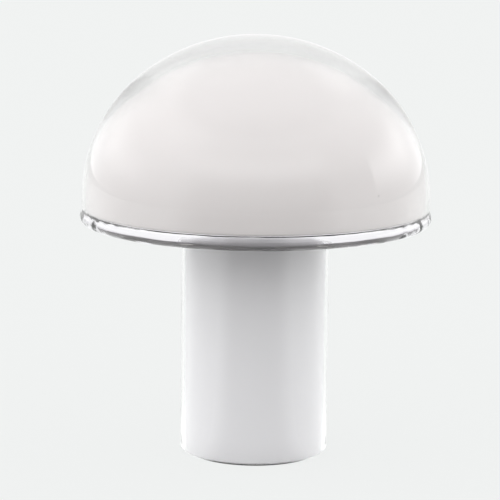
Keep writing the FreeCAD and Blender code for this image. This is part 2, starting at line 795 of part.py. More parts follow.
def support_arm(number, place):
    """Flat spring-steel strip: foot on the carrier, riser, and an end pad that lies along the dome."""
    label = f"support_arm_{number}"
    body = new_body(label)
    middle, slope = pad_frame()
    lean = math.radians(slope)
    along = Vector(math.cos(lean), 0, -math.sin(lean))
    top = [
        Vector(size("ARM_FOOT_START"), 0, size("CARRIER_TOP + arm_steel")),
        Vector(size("ARM_FOOT_END"), 0, size("CARRIER_TOP + arm_steel")),
        middle - along * size("arm_pad_inner"),
        middle + along * size("arm_pad_outer"),
    ]
    sketch = new_sketch(body, "strip")
    draw_outline(sketch, bent_strip(top, size("arm_steel"), size("arm_bend")))
    pad_strip(body, sketch, "arm_width")
    for radius in RIVETS:
        drill_rivet(body, radius, "0", "(CARRIER_TOP + arm_steel)", "arm_steel")

    def buffer_hole(sketch):
        draw_circle(sketch, "0", "0", "buffer_neck / 2 + buffer_clearance")

    tilt = Placement(middle, Rotation(Vector(0, 1, 0), slope))
    cut(body, "buffer_hole", "XY_Plane", buffer_hole, "arm_steel + 1",
        tilt.multVec(Vector(0, 0, -size("arm_steel / 2"))), tilt)
    body.Placement = place
    return body


def pad_strip(body, sketch, width):
    """Gives a strip's outline its width, half to each side."""
    pad = body.newObject("PartDesign::Pad", f"{body.Label}_width")
    pad.Profile = sketch
    pad.Midplane = True
    bind(pad, "Length", width)
    sketch.Visibility = False
    doc.recompute()


def bent_strip(upper, steel, bend):
    """Closed outline of a strip of even thickness from its upper face's corners, its bends rounded."""
    def spot(point, *arc):
        return (f"{point.x:.6f}", f"{point.z:.6f}", *arc)

    ways = [(after - before).normalize() for before, after in zip(upper, upper[1:])]
    down = [Vector(way.z, 0, -way.x) for way in ways]
    above_side = [spot(upper[0])]
    below_side = [spot(upper[0] + down[0] * steel)]
    for corner, arrive, leave, first, second in zip(upper[1:], ways, ways[1:], down, down[1:]):
        upwards = first.dot(leave) < 0
        reach = math.tan(arrive.getAngle(leave) / 2)
        above, below = (bend, bend + steel) if upwards else (bend + steel, bend)
        bulge = 1 if upwards else -1
        bisector = (first + second).normalize()
        under = corner + bisector * (steel / bisector.dot(first))
        above_side.append(spot(corner - arrive * (above * reach), f"{above}", bulge))
        above_side.append(spot(corner + leave * (above * reach)))
        below_side.append(spot(under - arrive * (below * reach)))
        below_side.append(spot(under + leave * (below * reach), f"{below}", -bulge))
    above_side.append(spot(upper[-1]))
    below_side.append(spot(upper[-1] + down[-1] * steel))
    return above_side + below_side[::-1]


def arm_rivets():
    """Two rivets hold each arm's foot on the carrier; the shop head is on top."""
    shank = Part.makeCylinder(size("rivet_diameter / 2"), size("carrier_steel + arm_steel"),
                              Vector(0, 0, size("CARRIER_BOTTOM")))
    head = Part.makeCone(size("rivet_head / 2"), size("rivet_head_top / 2"), size("rivet_head_height"),
                         Vector(0, 0, size("CARRIER_TOP + arm_steel")))
    tail = Part.makeCone(size("rivet_head_top / 2"), size("rivet_head / 2"), size("rivet_head_height"),
                         Vector(0, 0, size("CARRIER_BOTTOM - rivet_head_height")))
    rivet = shank.fuse(head).fuse(tail).removeSplitter()
    return group("arm_rivets", rivet, [place * Placement(Vector(size(radius), 0, 0), Rotation())
                                       for place in arm_places() for radius in RIVETS])


def arm_buffer(number, place):
    """Silicone stud pressed through the end pad; its domed head carries the shade."""
    rim_drop = "(buffer_dome - sqrt(buffer_dome ^ 2 - buffer_diameter ^ 2 / 4))"
    button = "(-arm_steel - buffer_button_height)"
    body = turned(f"arm_buffer_{number}", [
        ("0", button),
        ("buffer_button / 2", button),
        ("buffer_button / 2", "-arm_steel"),
        ("buffer_neck / 2", "-arm_steel"),
        ("buffer_neck / 2", "0"),
        ("buffer_diameter / 2", "0"),
        ("buffer_diameter / 2", f"buffer_height - {rim_drop}", "buffer_dome", 1),
        ("0", "buffer_height"),
    ])
    middle, slope = pad_frame()
    body.Placement = place * Placement(middle, Rotation(Vector(0, 1, 0), slope))
    return body


# Lampholder

def lampholder_cap():
    """Lower half of the lampholder: screwed on the tube, its ledge carries the porcelain insert."""
    ledge = "(HOLDER_RADIUS - holder_wall - holder_ledge)"
    return turned("lampholder_cap", [
        ("tube_diameter / 2 + seat_gap", "HOLDER_SEAT"),
        ("holder_foot / 2", "HOLDER_SEAT"),
        ("HOLDER_RADIUS", "HOLDER_SEAT + holder_cone"),
        ("HOLDER_RADIUS", "HOLDER_SPLIT"),
        ("HOLDER_RADIUS - holder_wall", "HOLDER_SPLIT"),
        ("HOLDER_RADIUS - holder_wall", "INSERT_BOTTOM - seat_gap"),
        (ledge, "INSERT_BOTTOM - seat_gap"),
        (ledge, "HOLDER_SEAT + holder_cone"),
        ("holder_foot / 2 - holder_wall", "HOLDER_SEAT + holder_wall"),
        ("holder_boss / 2", "HOLDER_SEAT + holder_wall"),
        ("holder_boss / 2", "HOLDER_SEAT + tube_engagement"),
        ("tube_diameter / 2 + seat_gap", "HOLDER_SEAT + tube_engagement"),
    ])


def lampholder_shell():
    return turned("lampholder_shell", [
        ("HOLDER_RADIUS - holder_wall", "HOLDER_SPLIT + holder_joint"),
        ("HOLDER_RADIUS", "HOLDER_SPLIT + holder_joint"),
        ("HOLDER_RADIUS", "HOLDER_TOP - holder_round", "holder_round", 1),
        ("HOLDER_RADIUS - holder_round", "HOLDER_TOP"),
        ("holder_mouth / 2", "HOLDER_TOP"),
        ("holder_mouth / 2", "HOLDER_TOP - holder_wall"),
        ("HOLDER_RADIUS - holder_wall", "HOLDER_TOP - holder_wall"),
    ])


def lampholder_insert():
    """Porcelain disc with a pocket for the centre contact and a hole for each terminal screw."""
    body = turned("lampholder_insert", [
        ("wire_hole / 2", "INSERT_BOTTOM"),
        ("INSERT_RADIUS", "INSERT_BOTTOM"),
        ("INSERT_RADIUS", "INSERT_TOP"),
        ("insert_pocket / 2", "INSERT_TOP"),
        ("insert_pocket / 2", "POCKET_FLOOR"),
        ("wire_hole / 2", "POCKET_FLOOR"),
    ])

    def hole(sketch):
        draw_circle(sketch, "screw_circle / 2", "0", "screw_diameter / 2 + screw_clearance")

    drilled = cut(body, "screw_hole", "XY_Plane", hole, "INSERT_BOTTOM + screw_length + screw_clearance",
                  Vector(size("screw_circle / 2"), 0, size("INSERT_BOTTOM + screw_length / 2")))
    pattern(body, drilled, "2")
    return body


def thread_sleeve():
    """Brass sleeve that takes the bulb's screw cap."""
    return turned("thread_sleeve", [
        ("THREAD_BORE - sleeve_flange", "INSERT_TOP"),
        ("SLEEVE_RADIUS + sleeve_flange", "INSERT_TOP"),
        ("SLEEVE_RADIUS + sleeve_flange", "INSERT_TOP + sleeve_wall"),
        ("SLEEVE_RADIUS", "INSERT_TOP + sleeve_wall"),
        ("SLEEVE_RADIUS", "HOLDER_TOP - holder_wall - holder_joint"),
        ("THREAD_BORE", "HOLDER_TOP - holder_wall - holder_joint"),
        ("THREAD_BORE", "INSERT_TOP + sleeve_wall"),
        ("THREAD_BORE - sleeve_flange", "INSERT_TOP + sleeve_wall"),
    ])


def centre_contact():
    """Brass tongue that stands in the insert's pocket and bends over under the bulb."""
    body = new_body("centre_contact")
    sketch = new_sketch(body, "strip")
    reach = size("insert_pocket / 2 - contact_strip * 2")
    high = size("BULB_FOOT - contact_rest")
    low = size("POCKET_FLOOR + contact_strip")
    top = [
        Vector(-size("contact_tongue"), 0, high),
        Vector(size("contact_tongue") / 2, 0, high),
        Vector(reach - size("contact_foot"), 0, low),
        Vector(reach, 0, low),
    ]
    draw_outline(sketch, bent_strip(top, size("contact_strip"), size("contact_strip")))
    pad_strip(body, sketch, "contact_width")
    return body


def terminal_screws():
    """Cheese-head screws in the underside of the insert."""
    head = Part.makeCylinder(size("screw_head / 2"), size("screw_head_height"),
                             Vector(0, 0, size("INSERT_BOTTOM - screw_head_height")))
    shank = Part.makeCylinder(size("screw_diameter / 2"), size("screw_length"),
                              Vector(0, 0, size("INSERT_BOTTOM")))
    screw = head.fuse(shank).removeSplitter()
    return group("terminal_screws", screw, [
        Placement(Vector(side * size("screw_circle / 2"), 0, 0), Rotation()) for side in (-1, 1)])


# Bulb

def draw_pear(sketch, ball, neck, blend):
    """Half outline of a filled pear: a ball that runs into the neck through a blend arc."""
    rise = f"sqrt(({ball} + {blend}) ^ 2 - ({neck} + {blend}) ^ 2)"
    draw_outline(sketch, [
        ("0", "NECK_BOTTOM"),
        (neck, "NECK_BOTTOM"),
        (neck, f"BULB_CENTRE - {rise}", blend, -1),
        (f"{ball} * ({neck} + {blend}) / ({ball} + {blend})",
         f"BULB_CENTRE - {ball} * {rise} / ({ball} + {blend})", ball, 1),
        ("0", f"BULB_CENTRE + {ball}"),
    ])


def bulb_envelope():
    """Pear of thin frosted glass, open at the neck."""
    body = new_body("bulb_envelope")
    solid = new_sketch(body, "solid")
    draw_pear(solid, "BULB_RADIUS", "(bulb_neck / 2)", "bulb_neck_blend")
    revolve(body, solid)
    void = new_sketch(body, "void")
    draw_pear(void, "(BULB_RADIUS - bulb_glass)", "(bulb_neck / 2 - bulb_glass)",
              "(bulb_neck_blend + bulb_glass)")
    hollow(body, void)
    return body


def bulb_cap():
    outside = "(bulb_thread / 2)"
    inside = "(bulb_thread / 2 - bulb_cap_wall)"
    return turned("bulb_cap", [
        ("cap_lip / 2", "CAP_BOTTOM"),
        (f"{outside} - cap_taper_inset", "CAP_BOTTOM"),
        (outside, "CAP_BOTTOM + cap_taper"),
        (outside, "CAP_TOP"),
        (inside, "CAP_TOP"),
        (inside, "CAP_BOTTOM + cap_taper"),
        (f"{inside} - cap_taper_inset", "CAP_BOTTOM + bulb_cap_wall"),
        ("cap_lip / 2", "CAP_BOTTOM + bulb_cap_wall"),
    ])


def bulb_insulator():
    """Black glass cone between the cap's lip and the centre button."""
    lip = "(CAP_BOTTOM + bulb_cap_wall + seat_gap)"
    throat = "(cap_lip / 2 - seat_gap)"
    disc = "(cap_lip / 2 + insulator_step)"
    return turned("bulb_insulator", [
        ("0", "INSULATOR_BOTTOM"),
        ("button_diameter / 2", "INSULATOR_BOTTOM"),
        (throat, "CAP_BOTTOM"),
        (throat, lip),
        (disc, lip),
        (disc, f"{lip} + insulator_disc"),
        ("0", f"{lip} + insulator_disc"),
    ])


def bulb_contact():
    return turned("bulb_contact", [
        ("0", "BULB_FOOT"),
        ("button_diameter / 2 - button_round", "BULB_FOOT", "button_round", 1),
        ("button_diameter / 2", "BULB_FOOT + button_round"),
        ("button_diameter / 2", "BULB_FOOT + button_height"),
        ("0", "BULB_FOOT + button_height"),
    ])


def bulb_stem():
    """Glass stem whose flared foot closes the neck."""
    flare = "(bulb_neck / 2 - bulb_glass - stem_clearance)"
    return turned("bulb_stem", [
        ("0", "NECK_BOTTOM + stem_flare_height - stem_glass"),
        (f"{flare} - stem_glass", "NECK_BOTTOM"),
        (flare, "NECK_BOTTOM"),
        ("stem_diameter / 2", "NECK_BOTTOM + stem_flare_height"),
        ("stem_diameter / 2", "STEM_TOP"),
        ("0", "STEM_TOP"),
    ])


def rod(start, end, radius):
    return Part.makeCylinder(radius, (end - start).Length, start, end - start)


def support_ends(side):
    """Foot and tip of the support wire at one side, whose tip is level with the ball's middle."""
    return (Vector(side * size("support_foot / 2"), 0, size("STEM_TOP + support_seat")),
            Vector(side * size("support_spread / 2"), 0, size("BULB_CENTRE")))


def filament_supports():
    """Two wires that spread from the stem's top to the filament's ends."""
    return shaped("filament_supports",
                  Part.makeCompound([rod(*support_ends(side), size("support_wire / 2")) for side in (-1, 1)]))


def bulb_filament():
    """Straight wire between the supports, a little under their tips."""
    foot, tip = support_ends(1)
    along = (tip - foot).normalize()
    end = tip - along * (size("filament_drop") / along.z)
    reach = Vector(end.x - size("support_wire / 2") / along.z - size("filament_gap"), 0, 0)
    middle = Vector(0, 0, end.z)
    return shaped("bulb_filament", rod(middle - reach, middle + reach, size("filament_wire / 2")))


def lamp():
    """Every sub-part of the lamp, from the floor up and then the bulb and the shade."""
    arms = list(enumerate(arm_places(), 1))
    return [
        base_clear_tube(), base_opal_lining(), rubber_foot_ring(), bottom_plate(), plate_gasket(),
        ballast_weight(), tie_tube(), tube_nuts(), tube_washers(), inlet_bush(), bush_nut(),
        base_top_gasket(), carrier_plate(),
        *[support_arm(number, place) for number, place in arms],
        *[arm_buffer(number, place) for number, place in arms],
        arm_rivets(),
        lampholder_cap(), lampholder_shell(), lampholder_insert(), thread_sleeve(), centre_contact(),
        terminal_screws(),
        bulb_contact(), bulb_envelope(), bulb_cap(), bulb_insulator(), bulb_stem(), filament_supports(),
        bulb_filament(),
        shade_clear_dome(), shade_opal_dome(),
    ]


sub_parts = lamp()
doc.recompute()

for item in doc.Objects:
    faults = {"Invalid", "Error"} & set(item.State)
    assert not faults, f"{item.Label} is {faults}"
for sub_part in sub_parts:
    shape = sub_part.Shape
    assert not shape.isNull() and shape.isValid() and shape.Solids, f"{sub_part.Label} has no sound solid"

os.makedirs("parts", exist_ok=True)
for sub_part in sub_parts:
    sub_part.Shape.exportStep(f"parts/{sub_part.Label}.step")
    room = sub_part.Shape.optimalBoundingBox()
    print(f"{sub_part.Label}: {len(sub_part.Shape.Solids)} solid, {sub_part.Shape.Volume / 1000:.2f} cm3, "
          f"{room.XLength:.1f} x {room.YLength:.1f} x {room.ZLength:.1f} mm from z {room.ZMin:.1f}")
print(f"{len(sub_parts)} sub-parts")
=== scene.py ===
# %% [markdown]
# # A mushroom table lamp
#
# The lamp is two glass forms, one over the other. A domed shade of opal glass sits inside a skin of clear
# glass and lies loose on three spring arms. The round base repeats this pair of layers: a clear tube
# outside, an opal lining inside. Everything else, from the cast-iron ballast to the bulb, is hidden between
# the two.
#
# The engineering model of the lamp comes in first and stays as it is. Its place and its sizes are the frame
# that all that follows is built on, and all of it is in metres.

# %% Load the frame
import json
import math
import bpy
from mathutils import Matrix


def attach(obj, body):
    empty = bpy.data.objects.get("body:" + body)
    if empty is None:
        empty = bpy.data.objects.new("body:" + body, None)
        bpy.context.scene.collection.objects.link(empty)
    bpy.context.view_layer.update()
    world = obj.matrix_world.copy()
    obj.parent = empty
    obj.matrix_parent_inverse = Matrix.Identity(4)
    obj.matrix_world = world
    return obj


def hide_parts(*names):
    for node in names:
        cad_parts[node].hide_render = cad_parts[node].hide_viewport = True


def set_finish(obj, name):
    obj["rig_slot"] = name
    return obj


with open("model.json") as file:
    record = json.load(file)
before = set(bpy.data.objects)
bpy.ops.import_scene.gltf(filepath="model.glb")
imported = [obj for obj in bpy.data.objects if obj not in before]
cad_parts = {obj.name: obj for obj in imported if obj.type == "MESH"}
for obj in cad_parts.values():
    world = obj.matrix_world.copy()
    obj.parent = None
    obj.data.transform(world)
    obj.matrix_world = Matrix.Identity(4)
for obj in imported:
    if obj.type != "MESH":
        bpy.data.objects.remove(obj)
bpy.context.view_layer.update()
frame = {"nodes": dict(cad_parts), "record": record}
nodes = frame["nodes"]

# %% [markdown]
# ## Measures
#
# The shade is described by a few lengths and angles, the same ones that the glassblower's mould would be
# turned to. They could be measured on the engineering model, but written down by name they can be changed
# one at a time. They are in millimetres, which is how such a lamp is drawn, and become metres where they
# are used.

# %% Measures of the clear skin
MM = 0.001
LAMP_HEIGHT = 324.0
SHADE_WALL = 133.5
STRAIGHT_TOP = 199.5
SHOULDER_TURN = 53.1
CROWN_CLEAR = 9.7
SIDE_CLEAR = 2.2
HOLLOW_TURN = 49.1
RIM_HEIGHT = 185.5
BEAD_RADIUS = 5.4
BEAD_CENTRE = 129.6
print(f"the shade is {2 * (BEAD_CENTRE + BEAD_RADIUS):.0f} mm wide, the lamp {LAMP_HEIGHT:.0f} mm high")

# %% [markdown]
# ## Drawing and turning an outline
#
# Every glass form here is round, so each is made the way a potter's template works: half of its outline is
# drawn beside the axis and then spun round it. Extrude draws a straight run from the last point, and spin
# bends the last point round a centre, which draws an arc. The same spin tool, given the lamp's axis, turns
# the outline into the form. A form could also be pulled out of a cylinder, but an outline keeps its exact
# measures.

# %% The outline tool
TURN_STEPS = 192
SMALL_TURN_STEPS = 64
SEAM = 0.004
CREASE = math.radians(40)


def box_of(piece):
    """Lowest and highest corner of a piece, in millimetres."""
    points = [vertex.co / MM for vertex in piece.data.vertices]
    return ([min(point[axis] for point in points) for axis in range(3)],
            [max(point[axis] for point in points) for axis in range(3)])


class Outline:
    """Half the outline of a turned piece, drawn in millimetres as radius and height."""

    def __init__(self, name, radius, height):
        bpy.ops.object.select_all(action="DESELECT")
        bpy.ops.mesh.primitive_plane_add(size=MM, location=(radius * MM, 0, height * MM))
        self.piece = bpy.context.object
        self.piece.name = self.piece.data.name = name
        bpy.ops.object.transform_apply(location=True, rotation=True, scale=True)
        bpy.ops.object.mode_set(mode="EDIT")
        bpy.ops.mesh.select_all(action="SELECT")
        bpy.ops.mesh.merge(type="CENTER")
        self.radius, self.height = radius, height

    def line(self, radius, height, steps=1):
        """Straight on to a point, in equal steps."""
        move = ((radius - self.radius) * MM / steps, 0, (height - self.height) * MM / steps)
        for _ in range(steps):
            bpy.ops.mesh.extrude_region_move(TRANSFORM_OT_translate={"value": move})
        self.radius, self.height = radius, height
        return self

    def arc(self, centre_radius, centre_height, degrees, steps):
        """Round a centre; a positive angle turns clockwise as the outline is drawn."""
        bpy.ops.mesh.spin(steps=steps, angle=math.radians(degrees), axis=(0, -1, 0),
                          center=(centre_radius * MM, 0, centre_height * MM))
        turn = math.radians(degrees)
        across, up = self.radius - centre_radius, self.height - centre_height
        self.radius = centre_radius + across * math.cos(turn) + up * math.sin(turn)
        self.height = centre_height - across * math.sin(turn) + up * math.cos(turn)
        return self

    def turned(self, steps=TURN_STEPS):
        """Spins the outline round the lamp's axis, closes its seam and shades it."""
        bpy.ops.mesh.select_all(action="SELECT")
        bpy.ops.mesh.spin(steps=steps, angle=math.tau, axis=(0, 0, 1), center=(0, 0, 0))
        bpy.ops.mesh.select_all(action="SELECT")
        bpy.ops.mesh.remove_doubles(threshold=SEAM * MM)
        bpy.ops.mesh.normals_make_consistent(inside=False)
        bpy.ops.object.mode_set(mode="OBJECT")
        bpy.ops.object.shade_smooth_by_angle(angle=CREASE)
        low, high = box_of(self.piece)
        print(f"{self.piece.name}: radius {high[0]:.1f}, height {low[2]:.1f} to {high[2]:.1f} mm,",
              f"{len(self.piece.data.polygons)} faces")
        return self.piece


# %% [markdown]
# ## The faces of the dome
#
# Each face of the dome is two arcs that meet smoothly: a flat one over the crown and a tighter one for the
# shoulder. A free curve could be drawn through a few points, but a mould is turned to arcs, and arcs meet
# without a bump. Their radii follow from the wall, the top and the angle that the shoulder turns through.

# %% The dome faces
class DomeFace:
    """One face of a dome: crown arc from the axis, then shoulder arc down to the straight wall."""

    STEPS = 28

    def __init__(self, wall, top, shoulder_turn):
        turn = math.radians(shoulder_turn)
        rise = top - STRAIGHT_TOP
        spread = (wall - rise) / (math.sin(turn) + math.cos(turn) - 1)
        self.wall, self.top, self.turn = wall, top, shoulder_turn
        self.shoulder = wall - spread * math.cos(turn)
        self.crown = self.shoulder + (rise - self.shoulder) / (1 - math.sin(turn))

    def within(self, depth):
        """The face that lies evenly below this one."""
        face = DomeFace(self.wall, self.top, self.turn)
        face.wall -= depth
        face.top -= depth
        face.shoulder -= depth
        face.crown -= depth
        return face

    def down(self, outline):
        """From the axis to the straight wall."""
        outline.arc(0, self.top - self.crown, 90 - self.turn, self.STEPS)
        return outline.arc(self.wall - self.shoulder, STRAIGHT_TOP, self.turn, self.STEPS)

    def up(self, outline):
        """From the straight wall to the axis."""
        outline.arc(self.wall - self.shoulder, STRAIGHT_TOP, -self.turn, self.STEPS)
        return outline.arc(0, self.top - self.crown, self.turn - 90, self.STEPS)


OUTSIDE = DomeFace(SHADE_WALL, LAMP_HEIGHT, SHOULDER_TURN)
HOLLOW = DomeFace(SHADE_WALL - SIDE_CLEAR, LAMP_HEIGHT - CROWN_CLEAR, HOLLOW_TURN)
print(f"outside: crown arc {OUTSIDE.crown:.1f} mm, shoulder arc {OUTSIDE.shoulder:.1f} mm")

# %% [markdown]
# ## The clear skin of the shade
#
# On the real lamp a bubble of clear glass is blown over the opal one. It gathers at the crown, where it is
# nearly a centimetre thick, and thins out to two millimetres down the side. The rim is rolled in the flame
# into a round bead. One outline draws it all: down the outside, round the bead and up the hollow. A
# thickness added to a plain dome would be even, and this skin is not.

# %% Turn the clear skin
def bead_angle(wall):
    """Angle above level at which a wall of that radius leaves the bead."""
    return math.degrees(math.acos((wall - BEAD_CENTRE) / BEAD_RADIUS))


def on_bead(wall):
    """Height at which a wall of that radius leaves the bead."""
    return RIM_HEIGHT + BEAD_RADIUS * math.sin(math.radians(bead_angle(wall)))


skin = OUTSIDE.down(Outline("shade_clear_skin", 0, LAMP_HEIGHT))
skin.line(SHADE_WALL, on_bead(SHADE_WALL), steps=3)
skin.arc(BEAD_CENTRE, RIM_HEIGHT, 360 + bead_angle(SHADE_WALL) - bead_angle(HOLLOW.wall), steps=36)
skin.line(HOLLOW.wall, STRAIGHT_TOP, steps=3)
shade_skin = HOLLOW.up(skin).turned()
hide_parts("shade_clear_dome")
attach(shade_skin, "shade")
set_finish(shade_skin, "clear_glass")

# %% [markdown]
# ## The opal dome
#
# The opal layer is an even three millimetres and follows the hollow of the clear skin, with a hair of air
# in between. It ends just above the bead, with a rounded cut edge, so the bead itself stays clear. It could
# share its outer face with the skin, but two faces in one place confuse a renderer, so it is drawn as a
# piece of its own.

# %% Turn the opal dome
LAYER_GAP = 0.3
OPAL_WALL = 3.0
OPAL_FOOT = 191.0
EDGE = OPAL_WALL / 2
OPAL_OUTSIDE = HOLLOW.within(LAYER_GAP)
OPAL_INSIDE = OPAL_OUTSIDE.within(OPAL_WALL)

opal = OPAL_OUTSIDE.down(Outline("shade_opal_lining", 0, OPAL_OUTSIDE.top))
opal.line(OPAL_OUTSIDE.wall, OPAL_FOOT + EDGE, steps=2)
opal.arc(OPAL_OUTSIDE.wall - EDGE, OPAL_FOOT + EDGE, 180, steps=8)
opal.line(OPAL_INSIDE.wall, STRAIGHT_TOP, steps=2)
shade_opal = OPAL_INSIDE.up(opal).turned()
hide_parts("shade_opal_dome")
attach(shade_opal, "shade")
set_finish(shade_opal, "opal_glass")

# %% [markdown]
# ## The glass of the base
#
# The base has the same two layers. The clear tube turns in at its foot, and the opal lining stands on that
# lip. A hole at the rear lets the cord's bush through both. In the workshop it is drilled into the cold
# glass, and here too it is cut last: a turned outline can hold no hole at one side only.

# %% The drill
BASE_RADIUS = 57.0
INLET_HEIGHT = 15.5
INLET_HOLE = 10.4
DRILL_LENGTH = 20.0


def drilled(piece):
    """Takes the cord's hole out of the rear wall."""
    bpy.ops.object.select_all(action="DESELECT")
    bpy.ops.mesh.primitive_cylinder_add(vertices=48, radius=INLET_HOLE / 2 * MM, depth=DRILL_LENGTH * MM,
                                        rotation=(math.pi / 2, 0, 0),
                                        location=(0, BASE_RADIUS * MM, INLET_HEIGHT * MM))
    drill = bpy.context.object
    bpy.context.view_layer.objects.active = piece
    hole = piece.modifiers.new("hole", "BOOLEAN")
    hole.operation, hole.object, hole.solver = "DIFFERENCE", drill, "EXACT"
    bpy.ops.object.modifier_apply(modifier=hole.name)
    bpy.data.objects.remove(drill)
    print(f"{piece.name}: {INLET_HOLE} mm hole, now {len(piece.data.polygons)} faces")
    return piece


# %% Turn and drill the clear tube
BASE_TOP = 196.0
FOOT_ROUND = 3.0
INNER_ROUND = 0.8
TUBE_INSIDE = 54.8
TUBE_LIP = 51.5
TUBE_FOOT = 1.4
TUBE_HEEL = 2.6

tube = Outline("base_clear_skin", TUBE_LIP, TUBE_FOOT).line(BASE_RADIUS - FOOT_ROUND, TUBE_FOOT)
tube.arc(BASE_RADIUS - FOOT_ROUND, TUBE_FOOT + FOOT_ROUND, -90, steps=6)
tube.line(BASE_RADIUS, BASE_TOP, steps=12).line(TUBE_INSIDE, BASE_TOP)
tube.line(TUBE_INSIDE, TUBE_HEEL + INNER_ROUND, steps=12)
tube.arc(TUBE_INSIDE - INNER_ROUND, TUBE_HEEL + INNER_ROUND, 90, steps=4)
tube.line(TUBE_LIP, TUBE_HEEL).line(TUBE_LIP, TUBE_FOOT)
base_skin = drilled(tube.turned())
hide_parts("base_clear_tube")

# %% Turn and drill the opal lining
LINING_OUTSIDE = 54.5
LINING_INSIDE = 51.9
LINING_LIP = 47.5
LINING_FOOT = 2.7
LINING_HEEL = 6.2

lining = Outline("base_opal_inner", LINING_LIP, LINING_FOOT).line(LINING_OUTSIDE - INNER_ROUND, LINING_FOOT)
lining.arc(LINING_OUTSIDE - INNER_ROUND, LINING_FOOT + INNER_ROUND, -90, steps=4)
lining.line(LINING_OUTSIDE, BASE_TOP, steps=12).line(LINING_INSIDE, BASE_TOP)
lining.line(LINING_INSIDE, LINING_HEEL, steps=12).line(LINING_LIP, LINING_HEEL)
lining.line(LINING_LIP, LINING_FOOT)
base_opal = drilled(lining.turned())
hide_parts("base_opal_lining")

for piece, slot in ((base_skin, "clear_glass"), (base_opal, "opal_glass")):
    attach(piece, "base")
    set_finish(piece, slot)

# %% [markdown]
# ## Rolled threads
#
# The bulb screws in by a round thread that is rolled into its thin cap and into the brass sleeve round it.
# Rings on top of each other would look alike from afar, but they don't climb as a thread does. So one wave
# of the thread is drawn beside the axis, the Screw modifier winds it up turn by turn, two cuts trim it
# level, and a thin wall is added.

# %% Tools to join and to modify
def finished(piece, *pieces, merge=0.02):
    """Joins pieces into the first, merges their doubles and turns their faces outwards."""
    bpy.ops.object.select_all(action="DESELECT")
    for item in (piece, *pieces):
        item.select_set(True)
    bpy.context.view_layer.objects.active = piece
    if pieces:
        bpy.ops.object.join()
    bpy.ops.object.mode_set(mode="EDIT")
    bpy.ops.mesh.select_all(action="SELECT")
    bpy.ops.mesh.remove_doubles(threshold=merge * MM)
    bpy.ops.mesh.normals_make_consistent(inside=False)
    bpy.ops.object.mode_set(mode="OBJECT")
    bpy.ops.object.shade_smooth_by_angle(angle=CREASE)
    return piece


def applied(piece, kind, **settings):
    """Adds a modifier, sets it and applies it."""
    bpy.ops.object.select_all(action="DESELECT")
    piece.select_set(True)
    bpy.context.view_layer.objects.active = piece
    modifier = piece.modifiers.new(kind.lower(), kind)
    for name, value in settings.items():
        setattr(modifier, name, value)
    bpy.ops.object.modifier_apply(modifier=modifier.name)
    return piece


# %% The thread tool
THREAD_PITCH = 3.629
WAVE_POINTS = 10


def rolled_thread(name, root, crest, low, high, wall):
    """A thin rolled thread between two heights; a negative wall grows inwards, a positive one outwards."""
    turns = math.ceil((high - low) / THREAD_PITCH) + 2
    wave = Outline(name, root, low - THREAD_PITCH)
    for point in range(1, WAVE_POINTS + 1):
        share = point / WAVE_POINTS
        radius = root + (crest - root) * (1 - math.cos(math.tau * share)) / 2
        wave.line(radius, low - THREAD_PITCH * (1 - share))
    bpy.ops.object.mode_set(mode="OBJECT")
    thread = applied(wave.piece, "SCREW", angle=math.tau, screw_offset=THREAD_PITCH * MM, iterations=turns,
                     steps=SMALL_TURN_STEPS, render_steps=SMALL_TURN_STEPS, axis="Z",
                     use_merge_vertices=True)
    bpy.ops.object.mode_set(mode="EDIT")
    for height, below in ((low, True), (high, False)):
        bpy.ops.mesh.select_all(action="SELECT")
        bpy.ops.mesh.bisect(plane_co=(0, 0, height * MM), plane_no=(0, 0, 1),
                            clear_inner=below, clear_outer=not below)
    bpy.ops.object.mode_set(mode="OBJECT")
    finished(thread)
    applied(thread, "SOLIDIFY", thickness=abs(wall) * MM, offset=math.copysign(1, wall))
    print(f"{name}: {THREAD_PITCH} mm a turn, {len(thread.data.polygons)} faces")
    return thread


# %% [markdown]
# ## The bulb's cap
#
# The cap is pressed from thin aluminium. Under its thread it closes to a cone round the contact, and above
# it a plain collar holds the glass. Cone and collar have no thread, so they are turned as before and joined
# on.

# %% Thread, cone and collar
CAP_SHEET = 0.3
CAP_FOOT = 172.7
CAP_HOLE = 8.0
CONE_RADIUS = 11.4
CONE_TOP = 175.7
CONE_MOUTH = 12.25
COLLAR_INSIDE = 12.7
COLLAR_OUTSIDE = 13.2
COLLAR_FOOT = 187.2
COLLAR_EDGE = 193.9
COLLAR_SHOULDER = 188.0
COLLAR_ROOT = 12.6

cap_thread = rolled_thread("bulb_screw_cap", root=12.2, crest=13.2, low=175.6, high=187.4, wall=-CAP_SHEET)
cone = Outline("cap_cone", CAP_HOLE, CAP_FOOT).line(CONE_RADIUS, CAP_FOOT)
cone.arc(CONE_RADIUS, CAP_FOOT + 2 * CAP_SHEET, -70, steps=4).line(CONE_MOUTH, CONE_TOP)
cone.line(CONE_MOUTH - CAP_SHEET, CONE_TOP).line(CONE_RADIUS, CAP_FOOT + CAP_SHEET)
cone.line(CAP_HOLE, CAP_FOOT + CAP_SHEET).line(CAP_HOLE, CAP_FOOT)
cone = cone.turned(steps=SMALL_TURN_STEPS)
collar = Outline("cap_collar", COLLAR_INSIDE, COLLAR_FOOT).line(COLLAR_INSIDE, COLLAR_EDGE, steps=2)
collar.arc((COLLAR_INSIDE + COLLAR_OUTSIDE) / 2, COLLAR_EDGE, 180, steps=5)
collar.line(COLLAR_OUTSIDE, COLLAR_SHOULDER).line(COLLAR_ROOT, COLLAR_FOOT).line(COLLAR_INSIDE, COLLAR_FOOT)
collar = collar.turned(steps=SMALL_TURN_STEPS)
bulb_cap = finished(cap_thread, cone, collar, merge=0.001)
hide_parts("bulb_cap")
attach(bulb_cap, "bulb")
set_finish(bulb_cap, "aluminium")

